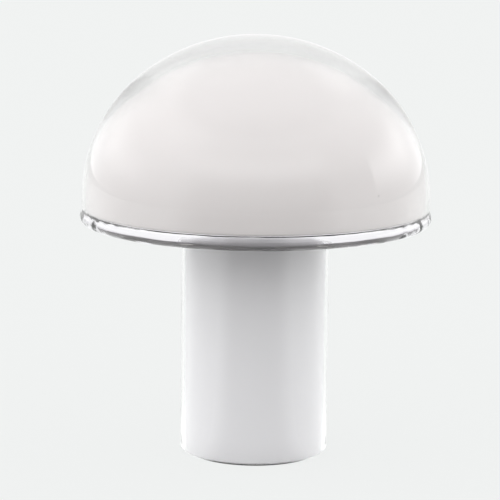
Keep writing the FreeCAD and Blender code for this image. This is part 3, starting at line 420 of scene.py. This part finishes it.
# %% [markdown]
# ## The sleeve of the lampholder
#
# The sleeve is the same wave in brass, a little wider than the cap so that the bulb turns freely. A flange
# at its foot stands on the porcelain, and its mouth is rounded so that the cap finds its way in. Both are
# turned and joined on, as on the cap.

# %% Thread, flange and mouth
SLEEVE_SHEET = 0.5
SLEEVE_INSIDE = 13.5
SLEEVE_OUTSIDE = SLEEVE_INSIDE + SLEEVE_SHEET
FLANGE_FOOT = 170.0
FLANGE_TOP = FLANGE_FOOT + SLEEVE_SHEET
FLANGE_HOLE = 11.5
FLANGE_RADIUS = 16.0
NECK_TOP = 171.6
MOUTH_FOOT = 192.4
MOUTH_EDGE = 193.45

sleeve_thread = rolled_thread("lampholder_screw_sleeve", root=13.4, crest=13.9, low=171.5, high=192.5,
                              wall=0.1)
flange = Outline("sleeve_flange", FLANGE_HOLE, FLANGE_FOOT).line(FLANGE_RADIUS, FLANGE_FOOT)
flange.line(FLANGE_RADIUS, FLANGE_TOP).line(SLEEVE_OUTSIDE, FLANGE_TOP).line(SLEEVE_OUTSIDE, NECK_TOP)
flange.line(SLEEVE_INSIDE, NECK_TOP).line(SLEEVE_INSIDE, FLANGE_TOP).line(FLANGE_HOLE, FLANGE_TOP)
flange.line(FLANGE_HOLE, FLANGE_FOOT)
flange = flange.turned(steps=SMALL_TURN_STEPS)
mouth = Outline("sleeve_mouth", SLEEVE_INSIDE, MOUTH_FOOT).line(SLEEVE_INSIDE, MOUTH_EDGE)
mouth.arc((SLEEVE_INSIDE + SLEEVE_OUTSIDE) / 2, MOUTH_EDGE, 180, steps=5)
mouth.line(SLEEVE_OUTSIDE, MOUTH_FOOT).line(SLEEVE_INSIDE, MOUTH_FOOT)
mouth = mouth.turned(steps=SMALL_TURN_STEPS)
sleeve = finished(sleeve_thread, flange, mouth, merge=0.001)
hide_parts("thread_sleeve")
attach(sleeve, "base")
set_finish(sleeve, "brass")

# %% [markdown]
# ## The filament
#
# The tungsten wire is a fine coil, hung between the supports. It could be a curve with a round section, but
# the Screw modifier is at hand: a small ring is moved off the axis of its run, and the modifier sweeps it
# along.

# %% Wind the filament
FILAMENT_HEIGHT = 242.1
FILAMENT_REACH = 7.0
WIRE_RADIUS = 0.08
COIL_RADIUS = 0.26
COIL_TURNS = 40
COIL_STEPS = 10

bpy.ops.object.select_all(action="DESELECT")
bpy.ops.mesh.primitive_circle_add(vertices=6, radius=WIRE_RADIUS * MM, rotation=(math.pi / 2, 0, 0),
                                  location=(0, 0, FILAMENT_HEIGHT * MM))
coil = bpy.context.object
coil.name = coil.data.name = "bulb_coil"
bpy.ops.object.transform_apply(location=False, rotation=True, scale=True)
bpy.ops.object.mode_set(mode="EDIT")
bpy.ops.mesh.select_all(action="SELECT")
bpy.ops.transform.translate(value=(-FILAMENT_REACH * MM, 0, COIL_RADIUS * MM))
bpy.ops.object.mode_set(mode="OBJECT")
applied(coil, "SCREW", angle=math.tau, screw_offset=2 * FILAMENT_REACH / COIL_TURNS * MM,
        iterations=COIL_TURNS, steps=COIL_STEPS, render_steps=COIL_STEPS, axis="X", use_merge_vertices=True)
bpy.ops.object.transform_apply(location=True, rotation=True, scale=True)
finished(coil, merge=0.005)
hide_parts("bulb_filament")
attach(coil, "bulb")
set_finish(coil, "tungsten")
print(f"{COIL_TURNS} turns, {len(coil.data.polygons)} faces")

# %% [markdown]
# ## Terminal screws
#
# Two cheese-head screws hold the wires under the porcelain. Each is a cylinder whose lower face is
# extruded, widened and drawn out into the head. The slot could be taken out by a boolean, but two cuts
# across the head that mark a strip, and a push that sinks the strip, leave cleaner faces.

# %% Slotted screws
SCREW_CIRCLE = 25.0
SHANK_RADIUS = 1.5
SHANK_LENGTH = 5.0
HEAD_RADIUS = 2.75
HEAD_SEAT = 161.0
HEAD_FACE = 158.8
HEAD_EDGE = 0.3
SLOT_WIDTH = 0.9
SLOT_DEPTH = 0.9


def pick_faces(piece, wanted):
    """Selects the faces for which wanted(centre in millimetres, normal) is true."""
    bpy.ops.mesh.select_all(action="DESELECT")
    bpy.ops.mesh.select_mode(type="FACE")
    bpy.ops.object.mode_set(mode="OBJECT")
    for face in piece.data.polygons:
        face.select = wanted(face.center / MM, face.normal)
    bpy.ops.object.mode_set(mode="EDIT")


def drawn_out(height):
    """Extrudes what is selected straight up by a height in millimetres, or down by a negative one."""
    bpy.ops.mesh.extrude_region_move(TRANSFORM_OT_translate={"value": (0, 0, height * MM)})


def slotted_screw(name, across):
    """A screw with its head down and a slot across the head, at a distance from the axis."""
    widen = HEAD_RADIUS / SHANK_RADIUS
    bpy.ops.object.select_all(action="DESELECT")
    bpy.ops.mesh.primitive_cylinder_add(vertices=32, radius=SHANK_RADIUS * MM, depth=SHANK_LENGTH * MM,
                                        location=(across * MM, 0, (HEAD_SEAT + SHANK_LENGTH / 2) * MM))
    screw = bpy.context.object
    screw.name = screw.data.name = name
    bpy.ops.object.transform_apply(location=True, rotation=True, scale=True)
    bpy.ops.object.mode_set(mode="EDIT")
    pick_faces(screw, lambda centre, normal: normal.z < -0.9)
    drawn_out(0)
    bpy.ops.transform.resize(value=(widen, widen, 1), center_override=(across * MM, 0, HEAD_SEAT * MM))
    drawn_out(HEAD_FACE - HEAD_SEAT)
    bpy.ops.mesh.bevel(offset=HEAD_EDGE * MM, segments=3, affect="EDGES")
    for side in (-1, 1):
        bpy.ops.mesh.select_all(action="SELECT")
        bpy.ops.mesh.bisect(plane_co=(0, side * SLOT_WIDTH / 2 * MM, 0), plane_no=(0, 1, 0))
    pick_faces(screw, lambda centre, normal: normal.z < -0.7 and abs(centre.y) < SLOT_WIDTH / 2
               and centre.z < HEAD_FACE + 0.5)
    drawn_out(SLOT_DEPTH)
    bpy.ops.object.mode_set(mode="OBJECT")
    return screw


screws = finished(slotted_screw("terminal_slot_screws", -SCREW_CIRCLE / 2),
                  slotted_screw("second_screw", SCREW_CIRCLE / 2), merge=0.001)
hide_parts("terminal_screws")
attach(screws, "base")
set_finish(screws, "nickel")
print(f"{screws.name}: slots {SLOT_WIDTH} mm wide, {len(screws.data.polygons)} faces")

# %% [markdown]
# ## Shader maths
#
# A finish is a small graph of nodes. Written out node by node it is hard to read, so one class wraps the
# value that a socket gives and lets it be added, multiplied and so on: each operator adds the Math node
# that does it. A second class holds a tree of nodes and adds every other kind of node.

# %% Values
class Value:
    """What a socket gives. Its operators add Math nodes."""

    def __init__(self, graph, socket):
        self.graph, self.socket = graph, socket

    def math(self, operation, *others):
        """Adds the Math node for an operation on this value and others."""
        return self.graph.node("ShaderNodeMath", {"operation": operation}, dict(enumerate((self, *others))))

    def __add__(self, other):
        return self.math("ADD", other)

    def __sub__(self, other):
        return self.math("SUBTRACT", other)

    def __rsub__(self, other):
        return self * -1 + other

    def __mul__(self, other):
        return self.math("MULTIPLY", other)

    def larger(self, other):
        """The larger of the two."""
        return self.math("MAXIMUM", other)

    __radd__ = __add__
    __rmul__ = __mul__


# %% Graphs
class Graph:
    """A node tree and the tools to build it."""

    def __init__(self, tree):
        self.tree = tree
        self.tree.nodes.clear()

    def all_outputs(self, kind, settings, inputs):
        """Adds a node: first its settings, then the values or links of its sockets. Gives its outputs."""
        made = self.tree.nodes.new(kind)
        for name, value in settings.items():
            setattr(made, name, value)
        for name, value in inputs.items():
            self.feed(made.inputs[name], value)
        return {socket.name: Value(self, socket) for socket in made.outputs if socket.enabled}

    def node(self, kind, settings, inputs, output=None):
        """The same, for a node of which one output is used."""
        outputs = self.all_outputs(kind, settings, inputs)
        return outputs[output] if output else list(outputs.values())[0]

    def feed(self, socket, value):
        """Links a value to a socket, or sets the socket to a number or a colour."""
        if isinstance(value, Value):
            self.tree.links.new(value.socket, socket)
        elif isinstance(value, tuple) and len(value) == 3 and socket.type == "RGBA":
            socket.default_value = (*value, 1)
        else:
            socket.default_value = value

    def axes(self, place):
        """X, Y and Z of a place or a way, each on its own."""
        return self.all_outputs("ShaderNodeSeparateXYZ", {}, {0: place})

    def fade(self, value, start, end):
        """Rises smoothly from 0 at start to 1 at end."""
        return self.node("ShaderNodeMapRange", {"interpolation_type": "SMOOTHSTEP"},
                         {"Value": value, "From Min": start, "From Max": end})

    def rays(self, *kinds):
        """1 for rays of any of these kinds, as Light Path names them."""
        path = self.all_outputs("ShaderNodeLightPath", {}, {})
        found = path[kinds[0]]
        for kind in kinds[1:]:
            found = found.larger(path[kind])
        return found

    def either(self, share, first, second):
        """Mixes two surface shaders."""
        return self.node("ShaderNodeMixShader", {}, {0: share, 1: first, 2: second})


# %% [markdown]
# ## Finishes
#
# On the real lamp no surface is even: glass waves, paint peels, metal is patchy. Every finish therefore
# starts from the place on the piece and from soft noise in its real size. Pictures could do this too, but
# noise needs no unwrapping and stays sharp from close by.

# %% Finishes
class Finish(Graph):
    """A material for one kind of surface."""

    def __init__(self, name):
        self.material = bpy.data.materials.new(name)
        self.material.use_nodes = True
        super().__init__(self.material.node_tree)
        self.place = self.node("ShaderNodeTexCoord", {}, {}, "Object")

    def noise(self, size, detail=2, roughness=0.5, stretch=(1, 1, 1)):
        """Soft noise from 0 to 1, its patches about size metres across."""
        place = self.node("ShaderNodeMapping", {}, {"Vector": self.place, "Scale": stretch})
        return self.node("ShaderNodeTexNoise", {}, {"Vector": place, "Scale": 1 / size, "Detail": detail,
                                                    "Roughness": roughness}, "Fac")

    def blend(self, share, first, second):
        """A colour between two."""
        return self.node("ShaderNodeMix", {"data_type": "RGBA"},
                         {"Factor": share, 6: first, 7: second}, "Result")

    def bump(self, height, depth):
        """A surface raised by height, which is depth metres at 1."""
        return self.node("ShaderNodeBump", {}, {"Height": height, "Distance": depth, "Strength": 1.0})

    def principled(self, **sockets):
        """The general surface shader; socket names have _ for spaces."""
        named = {name.replace("_", " "): value for name, value in sockets.items()}
        return self.node("ShaderNodeBsdfPrincipled", {}, named)

    def lit_through(self, glass, tint):
        """Glass for rays that look, and tinted air for rays that carry light to a surface."""
        clear = self.node("ShaderNodeBsdfTransparent", {}, {"Color": tint})
        return self.either(self.rays("Is Shadow Ray", "Is Diffuse Ray"), glass, clear)

    def done(self, surface):
        """Puts the surface out and gives the material."""
        self.all_outputs("ShaderNodeOutputMaterial", {}, {"Surface": surface})
        print(f"{self.material.name}: {len(self.tree.nodes)} nodes")
        return self.material


def cover(piece, material):
    """Gives a whole piece, or a part of the frame, one finish."""
    if piece.data.materials:
        for index in range(len(piece.data.materials)):
            piece.data.materials[index] = material
    else:
        piece.data.materials.append(material)


# %% [markdown]
# ## Clear glass
#
# Blown glass is never quite even: slow waves run through its skin, high ones where the rim was rolled, and
# here and there a tiny bubble, a seed, stays in it. The rolled bead is tinted lavender grey, a painted shade
# for the dark that it shows. Light has to shine through the glass on to the opal layer, and a path tracer
# would need very many rays for that. So rays that carry light to a surface pass the glass as if it were
# air, while rays that are looked along are bent by it.

# %% Clear glass
GLASS_IOR = 1.5
LONG_WAVE = 0.035
SHORT_WAVE = 0.009
ROLLED_LENGTH = 0.022
ROLLED_TOP = 0.189
ROLLED_FADE = 0.003
ROLLED_WAVE = 0.0012
# Painted shade: the tint of the rolled bead, grey for the dark that it shows
BEAD_SHADE_TINT = (0.88, 0.86, 0.89)
SEED_TONE = (0.35, 0.34, 0.34)
SEED_CORE = 0.4
# The place and the radius of each seed, in millimetres
SEEDS = [
    (-98.6, -85.7, 225.7, 0.7),
    (-94.1, -90.1, 227.1, 0.5),
    (89.4, -97.6, 215.9, 0.8),
    (76.9, -35.4, 296.1, 0.6),
]


def clear_glass(name, tint, wave, rim=None, seeds=()):
    """Polished glass with slow waves as high as wave metres. Below rim, where it was rolled, they are high.

    A seed is a tiny bubble in the skin: its place and its radius, in millimetres.
    """
    finish = Finish(name)
    waves = (finish.noise(LONG_WAVE, detail=1) * 0.8 + finish.noise(SHORT_WAVE) * 0.2) * wave
    tone = tint
    if rim:
        rolled = finish.fade(finish.axes(finish.place)["Z"], rim + ROLLED_FADE, rim)
        waves = rolled * finish.noise(ROLLED_LENGTH, detail=1) * ROLLED_WAVE + waves
        # Painted shade on the bead: its tint turns lavender grey below the rim
        tone = finish.blend(rolled, tint, BEAD_SHADE_TINT)
    for *place, radius in seeds:
        centre = tuple(value * MM for value in place)
        away = finish.node("ShaderNodeVectorMath", {"operation": "DISTANCE"},
                           {0: finish.place, 1: centre}, "Value")
        tone = finish.blend(finish.fade(away, radius * MM, radius * SEED_CORE * MM), tone, SEED_TONE)
    glass = finish.principled(Base_Color=tone, Roughness=0.0, IOR=GLASS_IOR, Transmission_Weight=1.0,
                              Normal=finish.bump(waves, 1.0))
    return finish.done(finish.lit_through(glass, tint))


cover(shade_skin, clear_glass("shade_clear", (0.985, 0.975, 0.975), 0.00004, rim=ROLLED_TOP, seeds=SEEDS))
cover(base_skin, clear_glass("base_clear", (0.982, 0.98, 0.985), 0.00004))
cover(nodes["bulb_stem"], clear_glass("stem_glass", (0.95, 0.965, 0.96), 0.00005))

# %% [markdown]
# ## Opal glass
#
# Opal glass is full of fine particles that scatter light, and its skin is polished by the flame. True
# scattering inside the wall would be slow to compute. A white body with a gloss on it, and a small share
# that lets light from behind glow through, looks much the same. The body grows darker towards the top, as
# the lamp in the photograph does. This tone is painted shade and light: on the shade it stands in for how
# light falls on the dome, and on the base it paints the shade's shadow on the base's top.

# %% Opal glass
OPAL_GLOSS = 0.12
OPAL_CLOUD = 0.12
CLOUD_SIZE = 0.06
SKIN_SIZE = 0.03
SKIN_DEPTH = 0.00003
# Crown and rim tones are painted shade and light: the shade is darker at its crown and lighter at its rim,
# and the base is darker at its top, a painted shadow of the shade above it.
OPALS = {
    "shade_opal": (shade_opal, {"crown": (0.675, 0.668, 0.665), "rim": (0.89, 0.866, 0.853), "top": 0.314,
                                "milk": (0.9, 0.88, 0.86), "glow": 0.07}),
    "base_opal": (base_opal, {"crown": (0.88, 0.88, 0.885), "rim": (0.985, 0.985, 0.99), "top": 0.196,
                              "milk": (0.93, 0.93, 0.94), "glow": 0.12}),
}


def opal_glass(name, crown, rim, top, milk, glow):
    """White glass with a polished skin, from a rim tone at its foot to a crown tone, top metres up; this
    change of tone is painted light and shade.

    The share glow of its light passes through, scattered, in the tone milk.
    """
    finish = Finish(name)
    height = finish.axes(finish.place)["Z"] * (1 / top)
    cloud = (finish.noise(CLOUD_SIZE, detail=3) - 0.5) * OPAL_CLOUD
    skin = finish.bump(finish.noise(SKIN_SIZE, detail=1), SKIN_DEPTH)
    # Painted shade and light: the body's tone goes from the rim tone to the crown tone with height.
    white = finish.principled(Base_Color=finish.blend(height + cloud, rim, crown), Roughness=OPAL_GLOSS,
                              IOR=GLASS_IOR, Normal=skin)
    through = finish.node("ShaderNodeBsdfTranslucent", {}, {"Color": milk})
    return finish.done(finish.either(glow, white, through))


for name, (piece, tones) in OPALS.items():
    cover(piece, opal_glass(name, **tones))

# %% [markdown]
# ## The bulb's glass
#
# The bulb is etched on the inside. That scatters what is seen through it and makes it look like frost, so
# its glass is a rough one; the stem and the filament show only as soft shadows. Opal glass would hide them.

# %% Frosted glass
BULB_IOR = 1.45
FROST_TINT = (0.9, 0.9, 0.9)


def frosted_glass():
    """Rough glass that lets most light through, with a fine uneven etch."""
    finish = Finish("frosted_glass")
    etch = finish.noise(0.0008, detail=4) * 0.12 + 0.3
    frost = finish.principled(Base_Color=(0.97, 0.975, 0.98), Roughness=etch, IOR=BULB_IOR,
                              Transmission_Weight=0.85, Normal=finish.bump(finish.noise(0.0006), 0.00001))
    return finish.done(finish.lit_through(frost, FROST_TINT))


cover(nodes["bulb_envelope"], frosted_glass())

# %% [markdown]
# ## Metals
#
# The metal parts differ in colour, in how the roll or the plating bath left their skin, and in wear. One
# function makes them all: patches of uneven polish, a fine grain that can be stretched along the rolling
# direction, and a duller tone where the patches are rough.

# %% Bare and plated metals
PATCH_GRAINS = 12
METAL_GRAIN_DEPTH = 0.000012


def metal(name, bright, dull, polish, grain, stretch=(1, 1, 1)):
    """Metal between two tones; polish is its lowest roughness and grain the size of its grain in metres."""
    finish = Finish(name)
    patches = finish.fade(finish.noise(grain * PATCH_GRAINS, detail=4), 0.25, 0.75)
    lines = finish.noise(grain, detail=3, stretch=stretch)
    return finish.done(finish.principled(
        Base_Color=finish.blend(patches * 0.7 + lines * 0.3, bright, dull), Metallic=1.0,
        Roughness=patches * 0.14 + lines * 0.1 + polish, Normal=finish.bump(lines, METAL_GRAIN_DEPTH)))


# Bright tone, dull tone, lowest roughness, grain in metres and, for some, how the grain is stretched
METALS = {
    "zinc_steel": ((0.66, 0.67, 0.66), (0.45, 0.46, 0.44), 0.22, 0.0012),
    "spring_steel": ((0.56, 0.55, 0.53), (0.40, 0.39, 0.37), 0.2, 0.0006, (1, 1, 0.12)),
    "nickel": ((0.66, 0.62, 0.56), (0.50, 0.47, 0.42), 0.12, 0.0008),
    "brass": ((0.80, 0.60, 0.28), (0.58, 0.42, 0.19), 0.16, 0.0008),
    "aluminium": ((0.83, 0.83, 0.84), (0.62, 0.62, 0.63), 0.2, 0.0007, (1, 1, 8)),
    "tungsten": ((0.30, 0.30, 0.31), (0.18, 0.18, 0.19), 0.35, 0.0003),
}
finishes = {name: metal(name, *recipe) for name, recipe in METALS.items()}

# %% [markdown]
# ## Painted and cast parts
#
# The carrier is powder coated: the powder melts into a skin with a faint orange peel. The ballast is cast
# iron straight from the sand, so it is grainy and rusts a little in its hollows. The grain could be
# modelled, but it is finer than a millimetre, so one noise serves each of them: it raises the skin and also
# sets how dull it is there.

# %% Powder coat and cast iron
def powder_coat():
    """White paint with a fine peel and a slow drift in its tone."""
    finish = Finish("white_steel")
    peel = finish.noise(0.0011, detail=2)
    tone = finish.blend(finish.noise(0.03, detail=2), (0.80, 0.80, 0.79), (0.74, 0.74, 0.73))
    return finish.done(finish.principled(Base_Color=tone, Roughness=peel * 0.12 + 0.3,
                                         Normal=finish.bump(peel, 0.00004)))


def cast_iron():
    """Dark iron with sand grain, and rust in the deeper hollows."""
    finish = Finish("cast_iron")
    sand = finish.noise(0.0016, detail=6, roughness=0.65)
    hollow = finish.fade(sand, 0.5, 0.32)
    rust = finish.fade(finish.noise(0.02, detail=5), 0.52, 0.68) * hollow
    iron = finish.blend(sand, (0.060, 0.060, 0.063), (0.12, 0.12, 0.12))
    tone = finish.blend(rust, iron, (0.19, 0.085, 0.04))
    return finish.done(finish.principled(Base_Color=tone, Metallic=0.4, Roughness=hollow * 0.25 + 0.55,
                                         Normal=finish.bump(sand, 0.00025)))


finishes["white_steel"] = powder_coat()
finishes["cast_iron"] = cast_iron()

# %% [markdown]
# ## Moulded and fired parts
#
# Rubber, silicone, plastic, porcelain and the black glass round the bulb's contact have no metal in them.
# They differ in tone, in gloss and in how coarse their skin is, so one recipe with a row of numbers for
# each serves them all. Silicone also lets a little light into its skin, and porcelain has a glaze on it.

# %% Moulded and fired parts
TONE_SIZE = 0.01


def moulded(name, light, dark, gloss, grain, depth, **more):
    """A plain material between two tones; gloss is its lowest roughness, grain and depth are of its skin."""
    finish = Finish(name)
    skin = finish.noise(grain, detail=3)
    tone = finish.blend(finish.fade(finish.noise(TONE_SIZE, detail=3), 0.3, 0.7), light, dark)
    return finish.done(finish.principled(Base_Color=tone, Roughness=skin * 0.15 + gloss,
                                         Normal=finish.bump(skin, depth), **more))


# Light tone, dark tone, lowest roughness, grain in metres and how deep it is
MOULDED = {
    "rubber": ((0.030, 0.030, 0.031), (0.045, 0.044, 0.043), 0.55, 0.0005, 0.00003),
    "silicone": ((0.74, 0.75, 0.75), (0.66, 0.67, 0.67), 0.32, 0.0009, 0.00001),
    "white_plastic": ((0.82, 0.82, 0.80), (0.77, 0.77, 0.75), 0.24, 0.0005, 0.000012),
    "porcelain": ((0.83, 0.81, 0.76), (0.76, 0.74, 0.69), 0.1, 0.0025, 0.00002),
    "black_glass": ((0.012, 0.010, 0.016), (0.022, 0.019, 0.028), 0.06, 0.0015, 0.00002),
}
EXTRAS = {
    "silicone": {"Subsurface_Weight": 0.4, "Subsurface_Scale": 0.002},
    "porcelain": {"Coat_Weight": 0.6},
}
for name, recipe in MOULDED.items():
    finishes[name] = moulded(name, *recipe, **EXTRAS.get(name, {}))

# %% [markdown]
# ## A finish for every part
#
# The engineering model names the material of each of its parts, so the finishes are handed out by that name
# and not one by one. The pieces that were made here in place of plain ones say theirs in the same way.

# %% Give every part its finish
for part in frame["record"]["subparts"]:
    if part["material_slot"] in finishes:
        cover(nodes[part["node"]], finishes[part["material_slot"]])
        print(part["node"], "in", part["material_slot"])
for piece in (bulb_cap, sleeve, coil, screws):
    cover(piece, finishes[piece["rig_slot"]])

# %% [markdown]
# ## The floor
#
# The lamp stands on a pale board of which the camera sees little more than an even tone and a soft shadow.
# A board that is only lit would not be even, and one that only glows would show no shadow, so it is a mix
# of both. What the glass mirrors of the board is set apart from that: bright beside the lamp, plain behind
# it and dark in front, as round a real camera. From below the board is clear, so that the foot of the lamp
# can be looked at.

# %% The floor
DEGREES = 180 / math.pi
FLOOR_RADIUS = 14
BACKGROUND = (0.871, 0.887, 0.880)
FLOOR_BOARD = (0.22, 0.22, 0.22)
SEEN_GLOW = 1.165
GLOW_SHARE = 0.8
MIRRORED_GLOW = 1.48
# Between which turns from the camera's way, in degrees, the mirrored board grows bright and then plain
DARK_ROOM = (30, 60)
BEHIND = (115, 150)


def from_camera(across, along):
    """Degrees from the camera's way, of a place or a way that leads so far across and along."""
    return across.math("ARCTAN2", along * -1) * DEGREES


def studio_floor():
    """Board and glow to the camera; to glossy rays, a glow beside and behind the lamp, a board in front."""
    finish = Finish("studio_floor")
    way = finish.axes(finish.place)
    plain = finish.node("ShaderNodeEmission", {}, {"Color": BACKGROUND, "Strength": SEEN_GLOW})
    board = finish.node("ShaderNodeBsdfDiffuse", {}, {"Color": FLOOR_BOARD})
    bright = finish.node("ShaderNodeEmission", {}, {"Color": BACKGROUND, "Strength": MIRRORED_GLOW})
    turned = from_camera(way["X"].math("ABSOLUTE"), way["Y"])
    mirrored = finish.rays("Is Glossy Ray") * finish.fade(turned, *DARK_ROOM)
    beside = finish.either(finish.fade(turned, *BEHIND), bright, plain)
    seen = finish.rays("Is Camera Ray", "Is Transmission Ray")
    above = finish.either(mirrored, finish.either(seen * GLOW_SHARE, board, plain), beside)
    below = finish.node("ShaderNodeNewGeometry", {}, {}, "Backfacing")
    return finish.done(finish.either(below, above, finish.node("ShaderNodeBsdfTransparent", {}, {})))


bpy.ops.object.select_all(action="DESELECT")
bpy.ops.mesh.primitive_circle_add(vertices=96, radius=FLOOR_RADIUS, fill_type="NGON", location=(0, 0, 0))
floor = bpy.context.object
floor.name = "studio_floor"
cover(floor, studio_floor())

# %% [markdown]
# ## The air
#
# A glass lamp is lit by what it mirrors, so a photographer puts it in a tent of white cards, some bright
# and some dim. Lamps of their own would show as hard spots in the glass. So the light is painted on the air
# instead: each card is a patch of it between two sides and two rises, with soft edges, and cards that share
# an edge fade into each other. Low on the side with the camera the cards are dim, so the glass is darker in
# the middle than at its outline.

# %% The cards
# Each edge that a card can have and the degrees over which it fades. SIDES are turns from the camera's way,
# to the left negative, and RISES are heights above the horizon.
SIDES = {-155: 20, 155: 20, -180: 0, -130: 20, -85: 24, -45: 30, 50: 16, 86: 5, 130: 20, 180: 0}
RISES = {-20: 0, 8: 16, 22: 16, 36: 12, 52: 14, 90: 0}
# Each card between two sides and two rises, and its brightness
CARDS = [
    (-45, 50, -20, 8, 0.4),
    (-45, 50, 8, 22, 0.6),
    (-45, 50, 22, 36, 2.3),
    (-45, 50, 36, 52, 1.7),
    (-180, 180, 52, 90, 1.15),
    (-85, -45, 8, 22, 1.9),
    (-85, -45, 22, 52, 2.15),
    (-130, -85, 8, 22, 2.6),
    (-130, -85, 22, 52, 1.9),
    (50, 86, 8, 22, 1.2),
    (50, 86, 22, 52, 1.6),
    (86, 130, 8, 22, 3.0),
    (86, 130, 22, 52, 1.55),
    (-130, -45, -20, 8, 1.45),
    (50, 130, -20, 8, 1.45),
    (-155, -130, -20, 52, 1.75),
    (130, 155, -20, 52, 1.85),
    (-180, -155, -20, 52, 1.05),
    (155, 180, -20, 52, 1.05),
]
print(f"{len(CARDS)} cards, the brightest {max(card[-1] for card in CARDS)}")

# %% The air
world = bpy.data.worlds.new("studio_air")
bpy.context.scene.world = world
world.use_nodes = True
air = Graph(world.node_tree)
way = air.axes(air.node("ShaderNodeTexCoord", {}, {}, "Generated"))
flat = (way["X"] * way["X"] + way["Y"] * way["Y"]).math("SQRT")
side = from_camera(way["X"], way["Y"])
rise = way["Z"].math("ARCTAN2", flat) * DEGREES


def between(angle, start, end, softness):
    """1 from one edge to the other, each as soft as the table says."""
    inside = 1
    if softness[start]:
        inside = air.fade(angle, start - softness[start] / 2, start + softness[start] / 2)
    if softness[end]:
        inside = air.fade(angle, end + softness[end] / 2, end - softness[end] / 2) * inside
    return inside


level = 0
for left, right, low, high, brightness in CARDS:
    level = between(rise, low, high, RISES) * between(side, left, right, SIDES) * brightness + level
tent = air.node("ShaderNodeBackground", {}, {"Color": (1.0, 1.0, 1.0), "Strength": level})
backdrop = air.node("ShaderNodeBackground", {}, {"Color": BACKGROUND, "Strength": 1.0})
shown = air.either(air.rays("Is Camera Ray", "Is Transmission Ray"), tent, backdrop)
air.all_outputs("ShaderNodeOutputWorld", {}, {"Surface": shown})
print(f"{world.name}: {len(air.tree.nodes)} nodes")

# %% [markdown]
# ## The camera
#
# The lamp is seen from a little above, at the height of a person who sits at the table, by a long lens that
# flattens it. The camera could be pointed at the lamp by a constraint, but the photograph is also turned by
# a fraction of a degree, so its three angles are given.

# %% Camera
LENS = 170.4
SENSOR_WIDTH = 36
CAMERA_PLACE = (0, -1.7979, 0.4775)
PITCH, YAW, ROLL = 0.17598, -0.00226, 0.00934

bpy.ops.object.camera_add(location=CAMERA_PLACE)
camera = bpy.context.object
camera.name = "studio_camera"
camera.data.lens = LENS
camera.data.sensor_width = SENSOR_WIDTH
turn = Matrix.Rotation(-YAW, 3, "Z")
tilt = Matrix.Rotation(math.pi / 2 - PITCH, 3, "X")
aim = turn @ tilt @ Matrix.Rotation(ROLL, 3, "Z")
camera.rotation_euler = aim.to_euler()
bpy.context.scene.camera = camera
bpy.context.scene.view_settings.view_transform = "Standard"
print(f"{camera.name}: {LENS} mm lens, {camera.location.length:.2f} m away")

# %% [markdown]
# ## Plain numbers
#
# Corners of a box are turned into plain lists of numbers, which a file can hold.

# %% Plain numbers
def plain(corners):
    """Corners as plain lists of numbers, which a file can hold."""
    return [[float(number) for number in corner] for corner in corners]
